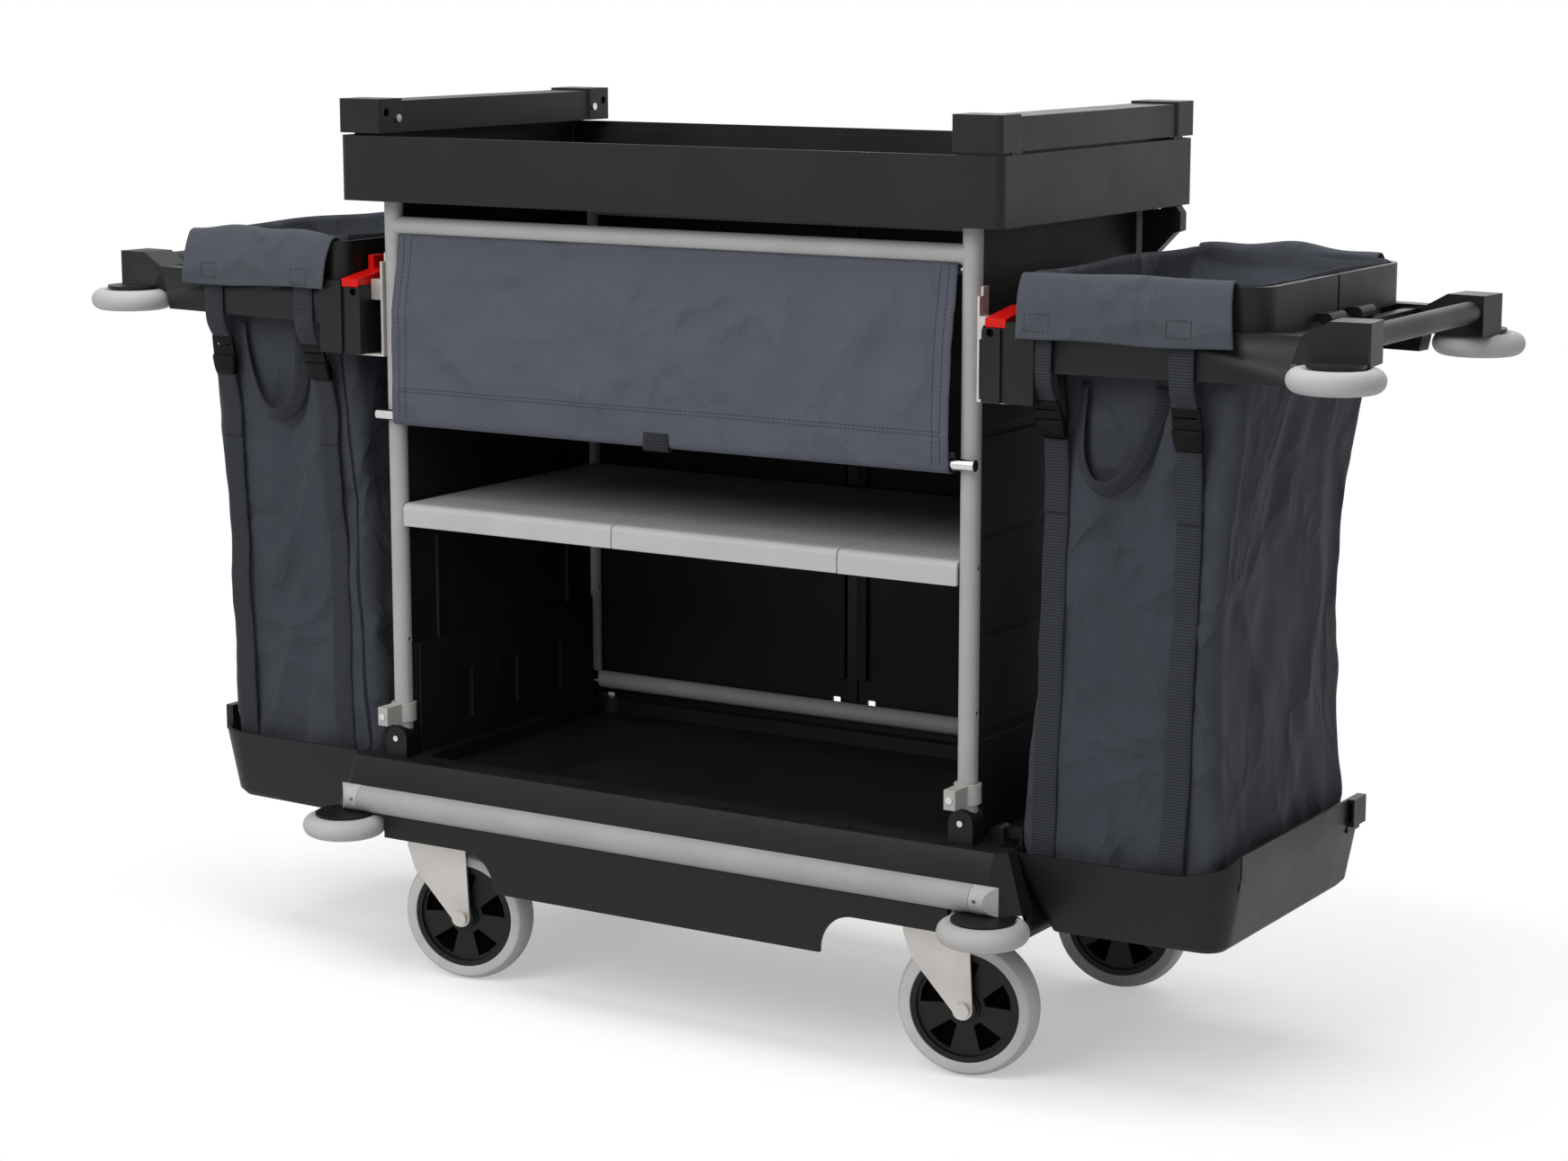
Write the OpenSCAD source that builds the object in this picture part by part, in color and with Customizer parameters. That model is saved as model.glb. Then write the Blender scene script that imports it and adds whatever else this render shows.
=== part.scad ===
// Housekeeping cart: moulded base on four castors, tube frame with tray, shelf and blind,
// and a bag frame with a hanging bag over a fold-up bin at each end.
// Millimetres. +X runs along the cart, the open front faces -Y, the floor is z = 0.

/* [Castors] */
// Outer diameter of the tyre
wheel_d = 160; // [140:1:180]
// Width of the tyre
wheel_w = 40; // [32:1:44]
// Diameter of the hub disc inside the tyre
wheel_hub_d = 124; // [104:1:134]
// Diameter of the axle bolt
axle_d = 12; // [8:1:16]
// Distance from the swivel axis to the axle
castor_trail = 40; // [30:1:50]
// Swivel angle at rest
castor_turn = 12; // [-90:1:90]
// Height from the floor to the top of the mounting plate
castor_height = 200; // [190:1:230]
// Distance of the castors from the ends of the deck
castor_in_x = 125; // [115:1:140]
// Distance of the castors from the long edges of the deck
castor_in_y = 50; // [46:1:70]
// Sheet thickness of the fork
fork_gauge = 4; // [3:0.5:6]
// Length of the mounting plate
plate_l = 100; // [80:1:110]
// Width of the mounting plate
plate_w = 84; // [70:1:90]
// Diameter of the king pin
king_d = 14; // [10:1:18]

/* [Deck] */
// Reach of the deck past the posts at each end
deck_reach = 82; // [76:1:100]
// Depth of the deck over its skirt
deck_depth = 480; // [460:1:540]
// Height of the sunk floor above the castor plates
deck_rise = 50; // [40:1:70]
// Height of the ledge above the sunk floor
ledge_height = 17; // [8:1:30]
// Depth of the ledge at the front and the rear
ledge_front = 50; // [40:1:70]
// Width of the ledge at each end
ledge_side = 108; // [100:1:130]
// Thickness of the floor
floor_gauge = 10; // [6:1:16]
// Thickness of the skirt
skirt_wall = 5; // [4:0.5:8]
// Depth of the skirt below the ledge in the middle
skirt_drop = 139; // [120:1:145]
// Rise of the skirt over the castors
arch_rise = 46; // [30:1:52]
// Distance from a castor to the foot of its arch
arch_back = 118; // [110:1:140]
// Radius of the arch
arch_r = 43; // [20:1:44]
// Cut of each corner in plan
corner_cut = 18; // [10:1:40]
// Width of the bevel along the front and rear top edges
bevel_in = 13; // [5:1:20]
// Height of that bevel
bevel_drop = 30; // [15:1:32]
// Width of the slope at the deck's ends
end_in = 22; // [10:1:30]
// Height of that slope
end_drop = 67; // [40:1:70]

/* [Bumpers] */
// Height of the bumper strip
strip_h = 32; // [20:1:36]
// Distance that the strip stands out
strip_bulge = 13; // [8:1:16]
// Distance from the ledge down to the strip's centre
strip_down = 49; // [47:1:55]
// Distance of the strip's ends from the ends of the deck
strip_in = 20; // [16:1:46]
// Length of an end cap
cap_l = 30; // [20:1:40]
// Outer diameter of a buffer ring
ring_d = 100; // [80:1:110]
// Thickness of a buffer ring
ring_tube = 25; // [18:1:28]
// Distance of the base rings' middles from the ends of the deck
ring_in = 32; // [28:1:40]
// Distance of the base rings' middles out from the long edges of the deck
ring_out = 12; // [6:1:18]

/* [Posts] */
// Diameter of the posts and rails
post_d = 22; // [18:1:26]
// Wall of the tube
post_wall = 1.5; // [1:0.1:3]
// Distance of the posts from the ends of the tray
post_in_x = 51; // [45:1:60]
// Distance of the posts from the long edges of the deck
post_in_y = 43; // [40:1:50]
// Height from the ledge to the tray
post_height = 663; // [560:1:760]
// Depth of the sockets in the deck
socket_depth = 12; // [6:1:16]
// Distance from the tray down to the top rails
top_rail_drop = 30; // [20:1:60]
// Distance from the ledge up to the lower rear rail
low_rail_rise = 23; // [15:1:60]
// Diameter of the cross holes in the posts
post_hole_d = 5; // [3:0.5:8]
// Height of the cross holes above the ledge
post_hole_rise = 143; // [120:1:220]
// Width of a post foot
foot_w = 30; // [28:1:40]
// Height of a post foot
foot_h = 38; // [30:1:45]

/* [Walls] */
// Thickness of a side panel
panel_gauge = 8; // [6:1:12]
// Number of grooves outside a side panel
groove_count = 5; // [2:1:8]
// Width of a groove
groove_w = 9; // [4:1:14]
// Thickness of a rear door
door_gauge = 6; // [4:1:8]
// Gap between the two doors
door_gap = 2; // [1:0.5:4]
// Gap under the doors
door_clear = 3; // [2:1:6]
// Diameter of the door hinge pins
door_pin_d = 8; // [6:1:10]
// Height of a door hinge knuckle
knuckle_h = 16; // [10:1:24]

/* [Tray] */
// Length of the tray
tray_length = 870; // [840:1:880]
// Overhang of the tray past the posts at the front and the rear
tray_over = 35; // [26:1:42]
// Height of the tray
tray_height = 75; // [50:1:100]
// Thickness of the tray walls
tray_wall = 8; // [6:0.5:12]
// Thickness of the tray floor
tray_floor = 6; // [4:0.5:10]
// Corner radius of the tray
tray_r = 11; // [9:1:30]
// Width of a gallery rail
gallery_w = 60; // [50:1:70]
// Height of a gallery rail
gallery_h = 39; // [30:1:50]
// Gap between gallery rail and tray
gallery_gap = 3; // [2:0.5:6]
// Length of a gallery end block
block_l = 46; // [36:1:60]
// Set-back of the rail between its end blocks
block_step = 3; // [1:0.5:6]
// Diameter of the accessory hole in an end block
block_hole_d = 10; // [6:1:14]
// Depth of that hole
block_hole_l = 22; // [15:1:25]

/* [Shelf] */
// Height of the shelf top above the ledge
shelf_rise = 307; // [240:1:330]
// Height of the shelf lip
shelf_lip = 27; // [24:1:40]
// Thickness of the shelf plate
shelf_gauge = 5; // [3:0.5:8]
// Radius of the shelf edge
shelf_r = 8; // [4:1:10]
// Seam between planks
shelf_seam = 1; // [0.5:0.1:2]
// Height of the two cross bars under the planks
bar_h = 18; // [10:1:19]
// Width of the cross bars
bar_w = 24; // [16:1:30]

/* [Blind] */
// Diameter of the rod that the blind hangs from
rod_d = 6; // [4:0.5:8]
// Distance from the top rail's centre down to the rod
rod_drop = 16; // [15:1:24]
// Thickness of the blind cloth
cloth_gauge = 1.4; // [1:0.1:2]
// Diameter of the bottom bar
bar_d = 13; // [9:1:15]
// Distance from the rod down to the bottom bar
blind_drop = 204; // [160:1:260]
// Reach of the blind's bottom bar past the posts
bar_reach = 15; // [6:1:22]
// Cloth below the bottom bar
blind_hem = 10; // [8:1:20]

/* [Bag frame] */
// Distance of the arms from the posts along the cart
arm_from = 28; // [25:1:34]
// Length of the arms along the cart
arm_l = 412; // [380:1:450]
// Distance of an arm's outer face out from the posts
arm_out = 32; // [28:1:38]
// How far the arms draw in towards the handle
arm_taper = 44; // [30:1:50]
// Distance of the arms' top below the tray
arm_drop = 95; // [88:1:140]
// Depth of an arm
arm_h = 51; // [40:1:60]
// Thickness of an arm
arm_t = 22; // [18:1:24]
// Height of the inner end plate
plate_h = 85; // [75:1:100]
// Length of the inner end plate
plate_len = 61; // [55:1:66]
// Thickness of the inner end plate
plate_t = 39; // [36:1:44]
// Height of the outer end block
tip_h = 44; // [40:1:50]
// Length of the outer end block
tip_l = 78; // [70:1:84]
// Thickness of the outer end block
tip_t = 44; // [36:1:50]
// Step of the end block above the arm
tip_up = 16; // [8:1:20]
// Diameter of the end handle
handle_d = 24; // [18:1:28]
// Distance from the arms' outer end to the handle
handle_in = 19; // [16:1:30]
// Distance of the arm buffers from the arms' outer end
buffer_in = 30; // [26:1:40]
// Distance that the arm buffers' centres stand outside the arms
buffer_out = 14; // [8:1:20]
// Height of the bag rim
rim_h = 45; // [30:1:55]
// Thickness of the bag rim
rim_t = 6; // [4:0.5:8]
// Gap between the two halves of the rim
rim_gap = 4; // [3:0.5:8]
// Diameter of the pivot hole shown in the end plate
pivot_d = 9; // [6:1:12]
// Thickness of the steel hooks
hook_gauge = 3; // [2:0.5:4]

/* [Bag] */
// Thickness of the bag cloth
bag_gauge = 3; // [2:0.5:4]
// Length of the flap that folds over the arms
flap_drop = 66; // [50:1:80]
// Gap between arm and flap
flap_gap = 11; // [8:1:16]
// Width of a strap
strap_w = 28; // [22:1:32]

/* [Bin] */
// Length of the bin along the cart at its rim
bin_length = 260; // [250:1:280]
// Distance of the bin's sides in from the long edges of the deck
bin_in = 46; // [42:1:52]
// Height of the bin's front and rear walls
bin_h = 85; // [60:1:90]
// Thickness of the bin walls
bin_wall = 3.5; // [3:0.5:5]
// Draft of the inner wall
bin_draft_in = 46; // [40:1:50]
// Draft of the other walls
bin_draft = 14; // [8:1:16]
// Rise of the raised outer wall
bin_lip = 23; // [15:1:30]
// Diameter of the bin hinge pins
bin_pin_d = 10; // [8:1:12]

/* [Clearances] */
// Gap between pieces that move past each other
gap = 0.3; // [0.2:0.05:0.6]
// Radial play of pins and shafts
play = 0.05; // [0.02:0.01:0.1]
// Radial play round fixed tubes
snug = 0.1; // [0.05:0.01:0.15]

/* [Hidden] */
$fn = 48;
e = 0.01;
wheel_r = wheel_d / 2;
castor_top = castor_height;
floor_z = castor_top + deck_rise;
ledge_z = floor_z + ledge_height;
skirt_z = ledge_z - skirt_drop;
arch_z = skirt_z + arch_rise;
apron_z = min(wheel_d + 2, arch_z - 6);
post_span_x = tray_length - 2 * post_in_x;
post_span_y = deck_depth - 2 * post_in_y;
deck_length = post_span_x + 2 * deck_reach;
tray_depth = post_span_y + 2 * tray_over;
hx = deck_length / 2;
hy = deck_depth / 2;
castor_x = hx - castor_in_x;
castor_y = hy - castor_in_y;
arch_x = castor_x - arch_back;
strip_span = deck_length - 2 * strip_in;
bin_depth = deck_depth - 2 * bin_in;
strip_z = ledge_z - strip_down;
pocket_z = strip_z - strip_h / 2;
ring_r = (ring_d - ring_tube) / 2;
ring_x = hx - ring_in;
ring_y = hy + ring_out;
hub_flange = 2.4;
ring_z = pocket_z - hub_flange - gap - ring_tube / 2;
px = post_span_x / 2;
py = post_span_y / 2;
post_r = post_d / 2;
tray_z = ledge_z + post_height;
tray_top = tray_z + tray_height;
tx = tray_length / 2;
ty = tray_depth / 2;
top_rail_z = tray_z - top_rail_drop;
low_rail_z = ledge_z + low_rail_rise;
panel_in = px - panel_gauge / 2 - 1;
panel_out = panel_in + panel_gauge;
panel_y = py - post_r - gap;
door_y = py + post_r + 1;
hinge_y = door_y + door_gauge + door_pin_d / 2 + 3;
shelf_z = ledge_z + shelf_rise;
shelf_y = py + post_r - 2;
shelf_x = panel_in - 6;
rod_z = top_rail_z - rod_drop;
rod_y = py + 3;
bar_z = rod_z - blind_drop;
bar_y = py + post_r + bar_d / 2 + gap;
bar_length = post_span_x + 2 * bar_reach;
cloth_x = px - post_r - 2;
arm_top = tray_z - arm_drop;
arm_x0 = px + arm_from;
arm_x1 = arm_x0 + arm_l;
arm_y0 = py + arm_out;
arm_y1 = arm_y0 - arm_taper;
arm_k = arm_taper / arm_l;
arm_a = atan(arm_k);
arm_len = (arm_x1 - arm_x0) / cos(arm_a);
tip_top = arm_top + tip_up;
tip_bottom = tip_top - tip_h;
plate_bottom = arm_top - plate_h;
handle_x = arm_x1 - handle_in;
handle_z = tip_top - handle_d / 2 - 6;
buf_x = arm_x1 - buffer_in;
buf_y = arm_y1 + buffer_out;
buf_z = tip_bottom - gap - ring_tube / 2;
rim_top = arm_top + rim_h;
rim_x0 = arm_x0 + plate_t - 6;
rim_x1 = arm_x1 - tip_l - 34;
bin_x0 = hx - end_in - 14;
bin_x1 = bin_x0 + bin_length;
bin_top = ledge_z - 5;
bin_bottom = bin_top - bin_h;
pin_x = px + post_r + 16;
pin_z = ledge_z + 9;
pin_y = py - 17;

// Outer face of an arm at x, as a distance from the middle plane
function arm_y(x) = arm_y0 - (x - arm_x0) * arm_k;

// Helpers: profiles drawn in (x, z) or (y, z) and extruded across the cart or along it
module xz(h) { translate([0, h, 0]) rotate([90, 0, 0]) linear_extrude(h) children(); }
module yz(l) { rotate([90, 0, 90]) linear_extrude(l) children(); }
module side(s) { if (s > 0) children(); else mirror([1, 0, 0]) children(); }
module front(f) { if (f < 0) children(); else mirror([0, 1, 0]) children(); }
module rrect(w, d, r) {
  square([w - 2 * r, d], center = true);
  square([w, d - 2 * r], center = true);
  for (i = [-1, 1], j = [-1, 1]) translate([i * (w / 2 - r), j * (d / 2 - r)]) circle(r);
}
module rod_x(d, l) { rotate([0, 90, 0]) cylinder(d = d, h = l, center = true); }
module rod_y(d, l) { rotate([90, 0, 0]) cylinder(d = d, h = l, center = true); }
module tube_x(l) {
  difference() { rod_x(post_d, l); rod_x(post_d - 2 * post_wall, l + 2); }
}
// A flat band t thick through points in (y, z), w wide along the cart, with mitred bends
function unit(v) = v / norm(v);
function left(v) = [-v[1], v[0]];
function miter(pts, i) = let(n = len(pts) - 1,
    a = left(unit(pts[min(i + 1, n)] - pts[min(i, n - 1)])),
    b = left(unit(pts[max(i, 1)] - pts[max(i - 1, 0)])),
    m = unit(a + b)) m / (m * a);
module ribbon(pts, t, w) {
  n = len(pts) - 1;
  translate([-w / 2, 0, 0]) yz(w) polygon([for (i = [0 : n]) pts[i] + miter(pts, i) * t / 2,
    for (i = [n : -1 : 0]) pts[i] - miter(pts, i) * t / 2]);
}

// Base
// places of the ledge slots as shares of the deck's half length
slot_at = [-0.655, -0.281, 0.208, 0.56];
module deck_outline(inset) {
  x = hx - inset;
  y = hy - inset;
  c = corner_cut - inset * (2 - sqrt(2));
  polygon([[-x, -y + c], [-x + c, -y], [x - c, -y], [x, -y + c],
    [x, y - c], [x - c, y], [-x + c, y], [-x, y - c]]);
}
module deck_moulding() {
  well_x = hx - ledge_side;
  well_y = hy - ledge_front;
  lug_w = 10;
  // the end wall leans with the bin's inner wall, skirt_wall thick
  bay_x = bin_x0 - 8;
  bay_k = bin_draft_in / bin_h * 1.035;
  cavity = [[hx - skirt_wall, skirt_z - 2], [hx - skirt_wall, ledge_z - (hx - bay_x) / bay_k],
    [bay_x + (ledge_z - floor_z + floor_gauge) * bay_k - 1.2 * skirt_wall, floor_z - floor_gauge + 1]];
  difference() {
    union() {
      difference() {
        translate([0, 0, skirt_z]) linear_extrude(ledge_z - skirt_z) deck_outline(0);
        intersection() {
          translate([0, 0, skirt_z - 1]) linear_extrude(floor_z - floor_gauge - skirt_z + 1)
            deck_outline(skirt_wall);
          translate([0, -hy, 0]) xz(deck_depth) polygon([for (v = cavity) v,
            for (i = [len(cavity) - 1 : -1 : 0]) [-cavity[i][0], cavity[i][1]]]);
        }
      }
      // ribs under the floor and pads over the castors
      for (x = [-0.5, 0, 0.5]) translate([x * castor_x * 1.2 - 2.5, -hy + 1, castor_top])
        cube([5, deck_depth - 2, deck_rise - 1]);
      translate([-hx + 1, -2.5, castor_top]) cube([deck_length - 2, 5, deck_rise - 1]);
      for (i = [-1, 1], j = [-1, 1]) {
        translate([i * castor_x - plate_l / 2 - 4, j * castor_y - plate_w / 2, castor_top])
          cube([plate_l + 8, plate_w, deck_rise - 1]);
        // solid corner over the buffer hub
        intersection() {
          translate([0, 0, pocket_z]) linear_extrude(deck_rise) deck_outline(0);
          translate([i * ring_x, j * ring_y, pocket_z]) cylinder(r = ring_d / 2 + 6, h = deck_rise - 4);
        }
      }
      // lugs and pins of the bin hinges
      for (i = [-1, 1], j = [-1, 1]) side(i) front(j) {
        translate([pin_x, -pin_y + lug_w, ledge_z - 1]) translate([-8, -lug_w, 0]) {
          cube([16, lug_w, pin_z - ledge_z + 1]);
          translate([8, lug_w / 2, pin_z - ledge_z + 1]) rod_y(16, lug_w);
        }
        translate([pin_x, -pin_y + lug_w + 6, pin_z]) rod_y(bin_pin_d, 12 + e);
      }
    }
    // sunk floor
    translate([0, 0, floor_z]) linear_extrude(ledge_height + 1) rrect(2 * well_x, 2 * well_y, 18);
    // sloped top edges at the front, the rear and the ends
    for (j = [-1, 1]) front(j) translate([-hx - 1, 0, 0]) yz(deck_length + 2)
      polygon([[-hy - 1, ledge_z + 1], [-hy + bevel_in, ledge_z + 1], [-hy + bevel_in, ledge_z],
        [-hy, ledge_z - bevel_drop], [-hy - 1, ledge_z - bevel_drop]]);
    for (i = [-1, 1]) side(i) translate([0, -hy - 1, 0]) xz(deck_depth + 2)
      polygon([[hx + 1, ledge_z + 1], [hx - end_in, ledge_z + 1], [hx - end_in, ledge_z],
        [hx, ledge_z - end_drop], [hx + 1, ledge_z - end_drop]]);
    // leaning corners, and the bay that the bin folds into
    for (i = [-1, 1], j = [-1, 1]) side(i) front(j)
      translate([hx - end_in - 4, -hy + bevel_in + 7, ledge_z]) rotate([0, -17, -45])
        translate([0, -60, -150]) cube([60, 120, 260]);
    for (i = [-1, 1]) side(i) translate([0, -bin_depth / 2 - 4, 0]) xz(bin_depth + 8)
      polygon([[bay_x, ledge_z], [bay_x, ledge_z + 1], [hx + 2, ledge_z + 1],
        [hx + 2, ledge_z - (hx + 2 - bay_x) / bay_k]]);
    // arches over the castors
    for (i = [-1, 1]) side(i) translate([0, -hy - 1, 0]) xz(deck_depth + 2) {
      translate([arch_x + arch_r, skirt_z - 1]) square([hx, arch_rise + 1]);
      translate([arch_x, skirt_z - 1]) square([arch_r + 1, arch_rise - arch_r + 1]);
      translate([arch_x + arch_r, arch_z - arch_r]) circle(arch_r);
    }
    // pockets round the buffers, post sockets and ledge slots
    for (i = [-1, 1], j = [-1, 1]) {
      translate([i * ring_x, j * ring_y, skirt_z - 1])
        cylinder(r = ring_d / 2 + 1.5, h = pocket_z - skirt_z + 1);
      translate([i * px, j * py, ledge_z - socket_depth]) cylinder(d = post_d + 2 * snug, h = 50);
    }
    for (x = slot_at, j = [-1, 1])
      translate([x * hx, j * (hy - ledge_front / 2 - 1), ledge_z]) cube([30, 7, 8], center = true);
  }
}
// the deck above the wheels, and the aprons that hang lower between the arches, front and rear
module below_wheel_tops() {
  translate([-deck_length, -deck_depth, skirt_z - 5]) cube([2 * deck_length, 2 * deck_depth, apron_z - skirt_z + 5]);
}
module base_deck() {
  color("#2c302f") difference() { deck_moulding(); below_wheel_tops(); }
}
module deck_aprons() {
  color("#2c302f") intersection() { deck_moulding(); below_wheel_tops(); }
}
module strip_profile() {
  r = (strip_h * strip_h / 4 + strip_bulge * strip_bulge) / (2 * strip_bulge);
  intersection() {
    translate([-hy - strip_bulge + r, strip_z]) circle(r);
    translate([-hy - strip_bulge - 1, strip_z - strip_h]) square([strip_bulge + 1, 2 * strip_h]);
  }
}
module bumper_strips() {
  l = strip_span - 2 * cap_l - 1;
  color("#b8b8b8") for (j = [-1, 1]) front(j) translate([-l / 2, 0, 0]) yz(l) strip_profile();
}
module strip_end_caps() {
  x0 = strip_span / 2 - cap_l;
  color("#bcbcbc") for (i = [-1, 1], j = [-1, 1]) side(i) front(j) difference() {
    translate([x0, 0, 0]) yz(cap_l) strip_profile();
    translate([strip_span / 2, -hy, strip_z]) rotate([0, 0, -45])
      translate([0, -40, -strip_h]) cube([40, 80, 2 * strip_h]);
    translate([x0 + 7, -hy - strip_bulge - 1, strip_z]) rod_y(5, 12);
  }
}
module buffer_hub(z_top) {
  bore = ring_d - 2 * ring_tube;
  translate([0, 0, ring_z - ring_tube / 2]) cylinder(d = bore - 2 * play, h = z_top - ring_z + ring_tube / 2);
  translate([0, 0, z_top - hub_flange]) cylinder(d = bore + 20, h = hub_flange);
}
module buffer_hubs() {
  color("#1a1a1a") for (i = [-1, 1], j = [-1, 1]) translate([i * ring_x, j * ring_y, 0])
    buffer_hub(pocket_z);
}
module buffer_ring(z) {
  translate([0, 0, z]) rotate_extrude($fn = 64) translate([ring_r, 0]) circle(ring_tube / 2);
}
module base_buffer(i, j) { color("#b5b5b5") translate([i * ring_x, j * ring_y, 0]) buffer_ring(ring_z); }

// Castors
plate_t2 = 5;
race_h = 8;
crown_top = castor_top - plate_t2 - race_h - gap;
leg_y = wheel_w / 2 + 3;
crown_z = wheel_d + 5;
module castor_at(i, j) { translate([i * castor_x, j * castor_y, 0]) rotate(castor_turn) children(); }
module castor_plates() {
  color("#b5b0ac") for (i = [-1, 1], j = [-1, 1]) translate([i * castor_x, j * castor_y, 0]) {
    translate([0, 0, castor_top - plate_t2]) linear_extrude(plate_t2) difference() {
      rrect(plate_l, plate_w, 8);
      for (a = [-1, 1], b = [-1, 1]) translate([a * (plate_l / 2 - 12), b * (plate_w / 2 - 12)]) circle(4.5);
    }
    translate([0, 0, castor_top - plate_t2 - race_h]) cylinder(d = king_d * 4, h = race_h + 1);
    translate([0, 0, crown_z - gap - 7]) cylinder(d = king_d, h = castor_top - plate_t2 - crown_z + gap + 7);
    translate([0, 0, crown_z - gap - 7]) cylinder(d = king_d * 1.6, h = 7, $fn = 6);
  }
}
module fork(i, j) {
  crown_r = king_d * 2.1;
  tail = castor_trail * 0.7;
  nose = castor_trail + 7;
  color("#b5b0ac") castor_at(i, j) {
    difference() {
      union() {
        translate([0, 0, crown_z]) cylinder(r = crown_r, h = crown_top - crown_z);
        translate([-tail, -leg_y - fork_gauge, crown_z])
          cube([tail + nose, 2 * (leg_y + fork_gauge), fork_gauge + 2]);
        for (s = [-1, 1]) front(s) translate([0, -leg_y - fork_gauge, 0]) xz(fork_gauge) {
          polygon([[-tail, crown_z + fork_gauge + 2], [-tail, crown_z - 2], [-tail + 9, crown_z - 30],
            [castor_trail - axle_d * 0.9, wheel_r - 3], [castor_trail + axle_d * 0.95, wheel_r],
            [nose, crown_z], [nose, crown_z + fork_gauge + 2]]);
          translate([castor_trail, wheel_r]) circle(axle_d * 0.95);
        }
      }
      translate([0, 0, crown_z - 1]) cylinder(d = king_d + 2 * play, h = crown_top);
      translate([castor_trail, 0, wheel_r]) rod_y(axle_d + 2 * play, 200);
    }
    // axle bolt with its head and nut
    translate([castor_trail, 0, wheel_r]) {
      rod_y(axle_d, 2 * (leg_y + fork_gauge) + 1);
      for (s = [-1, 1]) translate([0, s * (leg_y + fork_gauge + 3 + play), 0]) rod_y(axle_d * 1.5, 6);
    }
  }
}
module wheel_at(i, j) {
  castor_at(i, j) translate([castor_trail, 0, wheel_r]) rotate([90, 0, 0]) children();
}
module wheel_hub(i, j) {
  r = wheel_hub_d / 2;
  w = wheel_w - 4;
  color("#1f1f1f") wheel_at(i, j) difference() {
    union() {
      translate([0, 0, -w / 2]) cylinder(r = r, h = w);
      translate([0, 0, -leg_y + gap]) cylinder(d = axle_d * 2.4, h = 2 * (leg_y - gap));
    }
    translate([0, 0, -wheel_w]) cylinder(d = axle_d + 2 * play, h = 2 * wheel_w);
    // five wedge windows from each side, and a dished face
    for (s = [-1, 1]) {
      translate([0, 0, s * (w / 2 - 1)]) difference() {
        cylinder(r = r * 0.9, h = 6, center = true);
        cylinder(d = axle_d * 2.8, h = 8, center = true);
      }
      for (k = [0 : 4]) rotate(k * 72 + 18) translate([0, 0, s * w * 0.42 - w * 0.25])
        linear_extrude(w / 2) polygon([[r * 0.36, -r * 0.07], [r * 0.36, r * 0.07],
          [r * 0.8, r * 0.24], [r * 0.84, 0], [r * 0.8, -r * 0.24]]);
    }
  }
}
module tyre(i, j) {
  crown = 7;
  rc = (wheel_w * wheel_w / 4 + crown * crown) / (2 * crown);
  color("#a3a3a3") wheel_at(i, j) rotate_extrude($fn = 96) intersection() {
    translate([wheel_hub_d / 2, -wheel_w / 2]) square([wheel_r - wheel_hub_d / 2, wheel_w]);
    translate([wheel_r - rc, 0]) circle(rc);
  }
}

// Posts, rails and what is clamped to them
module post_tube() {
  translate([0, 0, ledge_z - socket_depth]) difference() {
    cylinder(d = post_d, h = post_height + socket_depth);
    translate([0, 0, -1]) cylinder(d = post_d - 2 * post_wall, h = post_height + socket_depth + 2);
  }
}
module front_posts() {
  color("#a8a8a8") for (i = [-1, 1]) translate([i * px, -py, 0]) difference() {
    post_tube();
    for (z = [post_hole_rise, post_hole_rise * 2.1])
      translate([0, 0, ledge_z + z]) rod_x(post_hole_d, post_d + 2);
  }
}
hinge_x = px + 4;
hinge_z = [ledge_z + 46, tray_z - 82];
module rear_posts() {
  color("#a8a8a8") for (i = [-1, 1]) side(i) {
    translate([px, py, 0]) difference() {
      union() {
        post_tube();
        // hinge lugs
        for (z = hinge_z) translate([-1, post_r - post_wall, z - 8])
          cube([10, hinge_y - py - post_r + post_wall, 8]);
      }
      translate([0, 0, ledge_z + post_hole_rise]) rod_x(post_hole_d, post_d + 2);
    }
    for (z = hinge_z) translate([hinge_x, hinge_y, z - 8]) {
      cylinder(d = door_pin_d + 4, h = 8);
      cylinder(d = door_pin_d, h = 8 + knuckle_h);
    }
  }
}
module cross_rail(y, z) {
  difference() {
    translate([0, y, z]) tube_x(post_span_x);
    for (i = [-1, 1]) translate([i * px, y, z]) cylinder(d = post_d + 2 * snug, h = 3 * post_d, center = true);
  }
}
module front_top_rail() { color("#a8a8a8") cross_rail(-py, top_rail_z); }
module rear_rails() {
  color("#a8a8a8") { cross_rail(py, top_rail_z); cross_rail(py, low_rail_z); }
}
module post_feet() {
  color("#151515") for (i = [-1, 1], j = [-1, 1]) side(i) front(j) difference() {
    out = post_r + (j < 0 ? foot_out : 0.6);
    translate([px - foot_w / 2, -py - out, ledge_z]) xz(out + post_r) {
      square([foot_w, foot_h - foot_w / 2]);
      translate([foot_w / 2, foot_h - foot_w / 2]) circle(foot_w / 2);
    }
    translate([px, -py, ledge_z - 1]) cylinder(d = post_d + 2 * snug, h = foot_h + 40);
    // the rear feet are notched for the lower rail
    if (j > 0) translate([0, -py, low_rail_z]) rod_x(post_d + 2 * snug, post_span_x);
  }
}
foot_out = 5;
catch_z = ledge_z + 43;
catch_h = 22;
catch_out = 30;
module blind_catches() {
  w = 14;
  color("#c4c4c4") for (i = [-1, 1]) side(i) difference() {
    union() {
      translate([px, -py, catch_z]) cylinder(d = post_d + 8, h = catch_h);
      translate([px - w / 2, -py - post_r - catch_out, catch_z]) cube([w, catch_out + 4, catch_h]);
    }
    translate([px, -py, catch_z - 1]) cylinder(d = post_d + 2 * snug, h = catch_h + 2);
    translate([px - 40, -panel_y - gap, catch_z - 1]) cube([80, 40, catch_h + 2]);
  }
}
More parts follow.
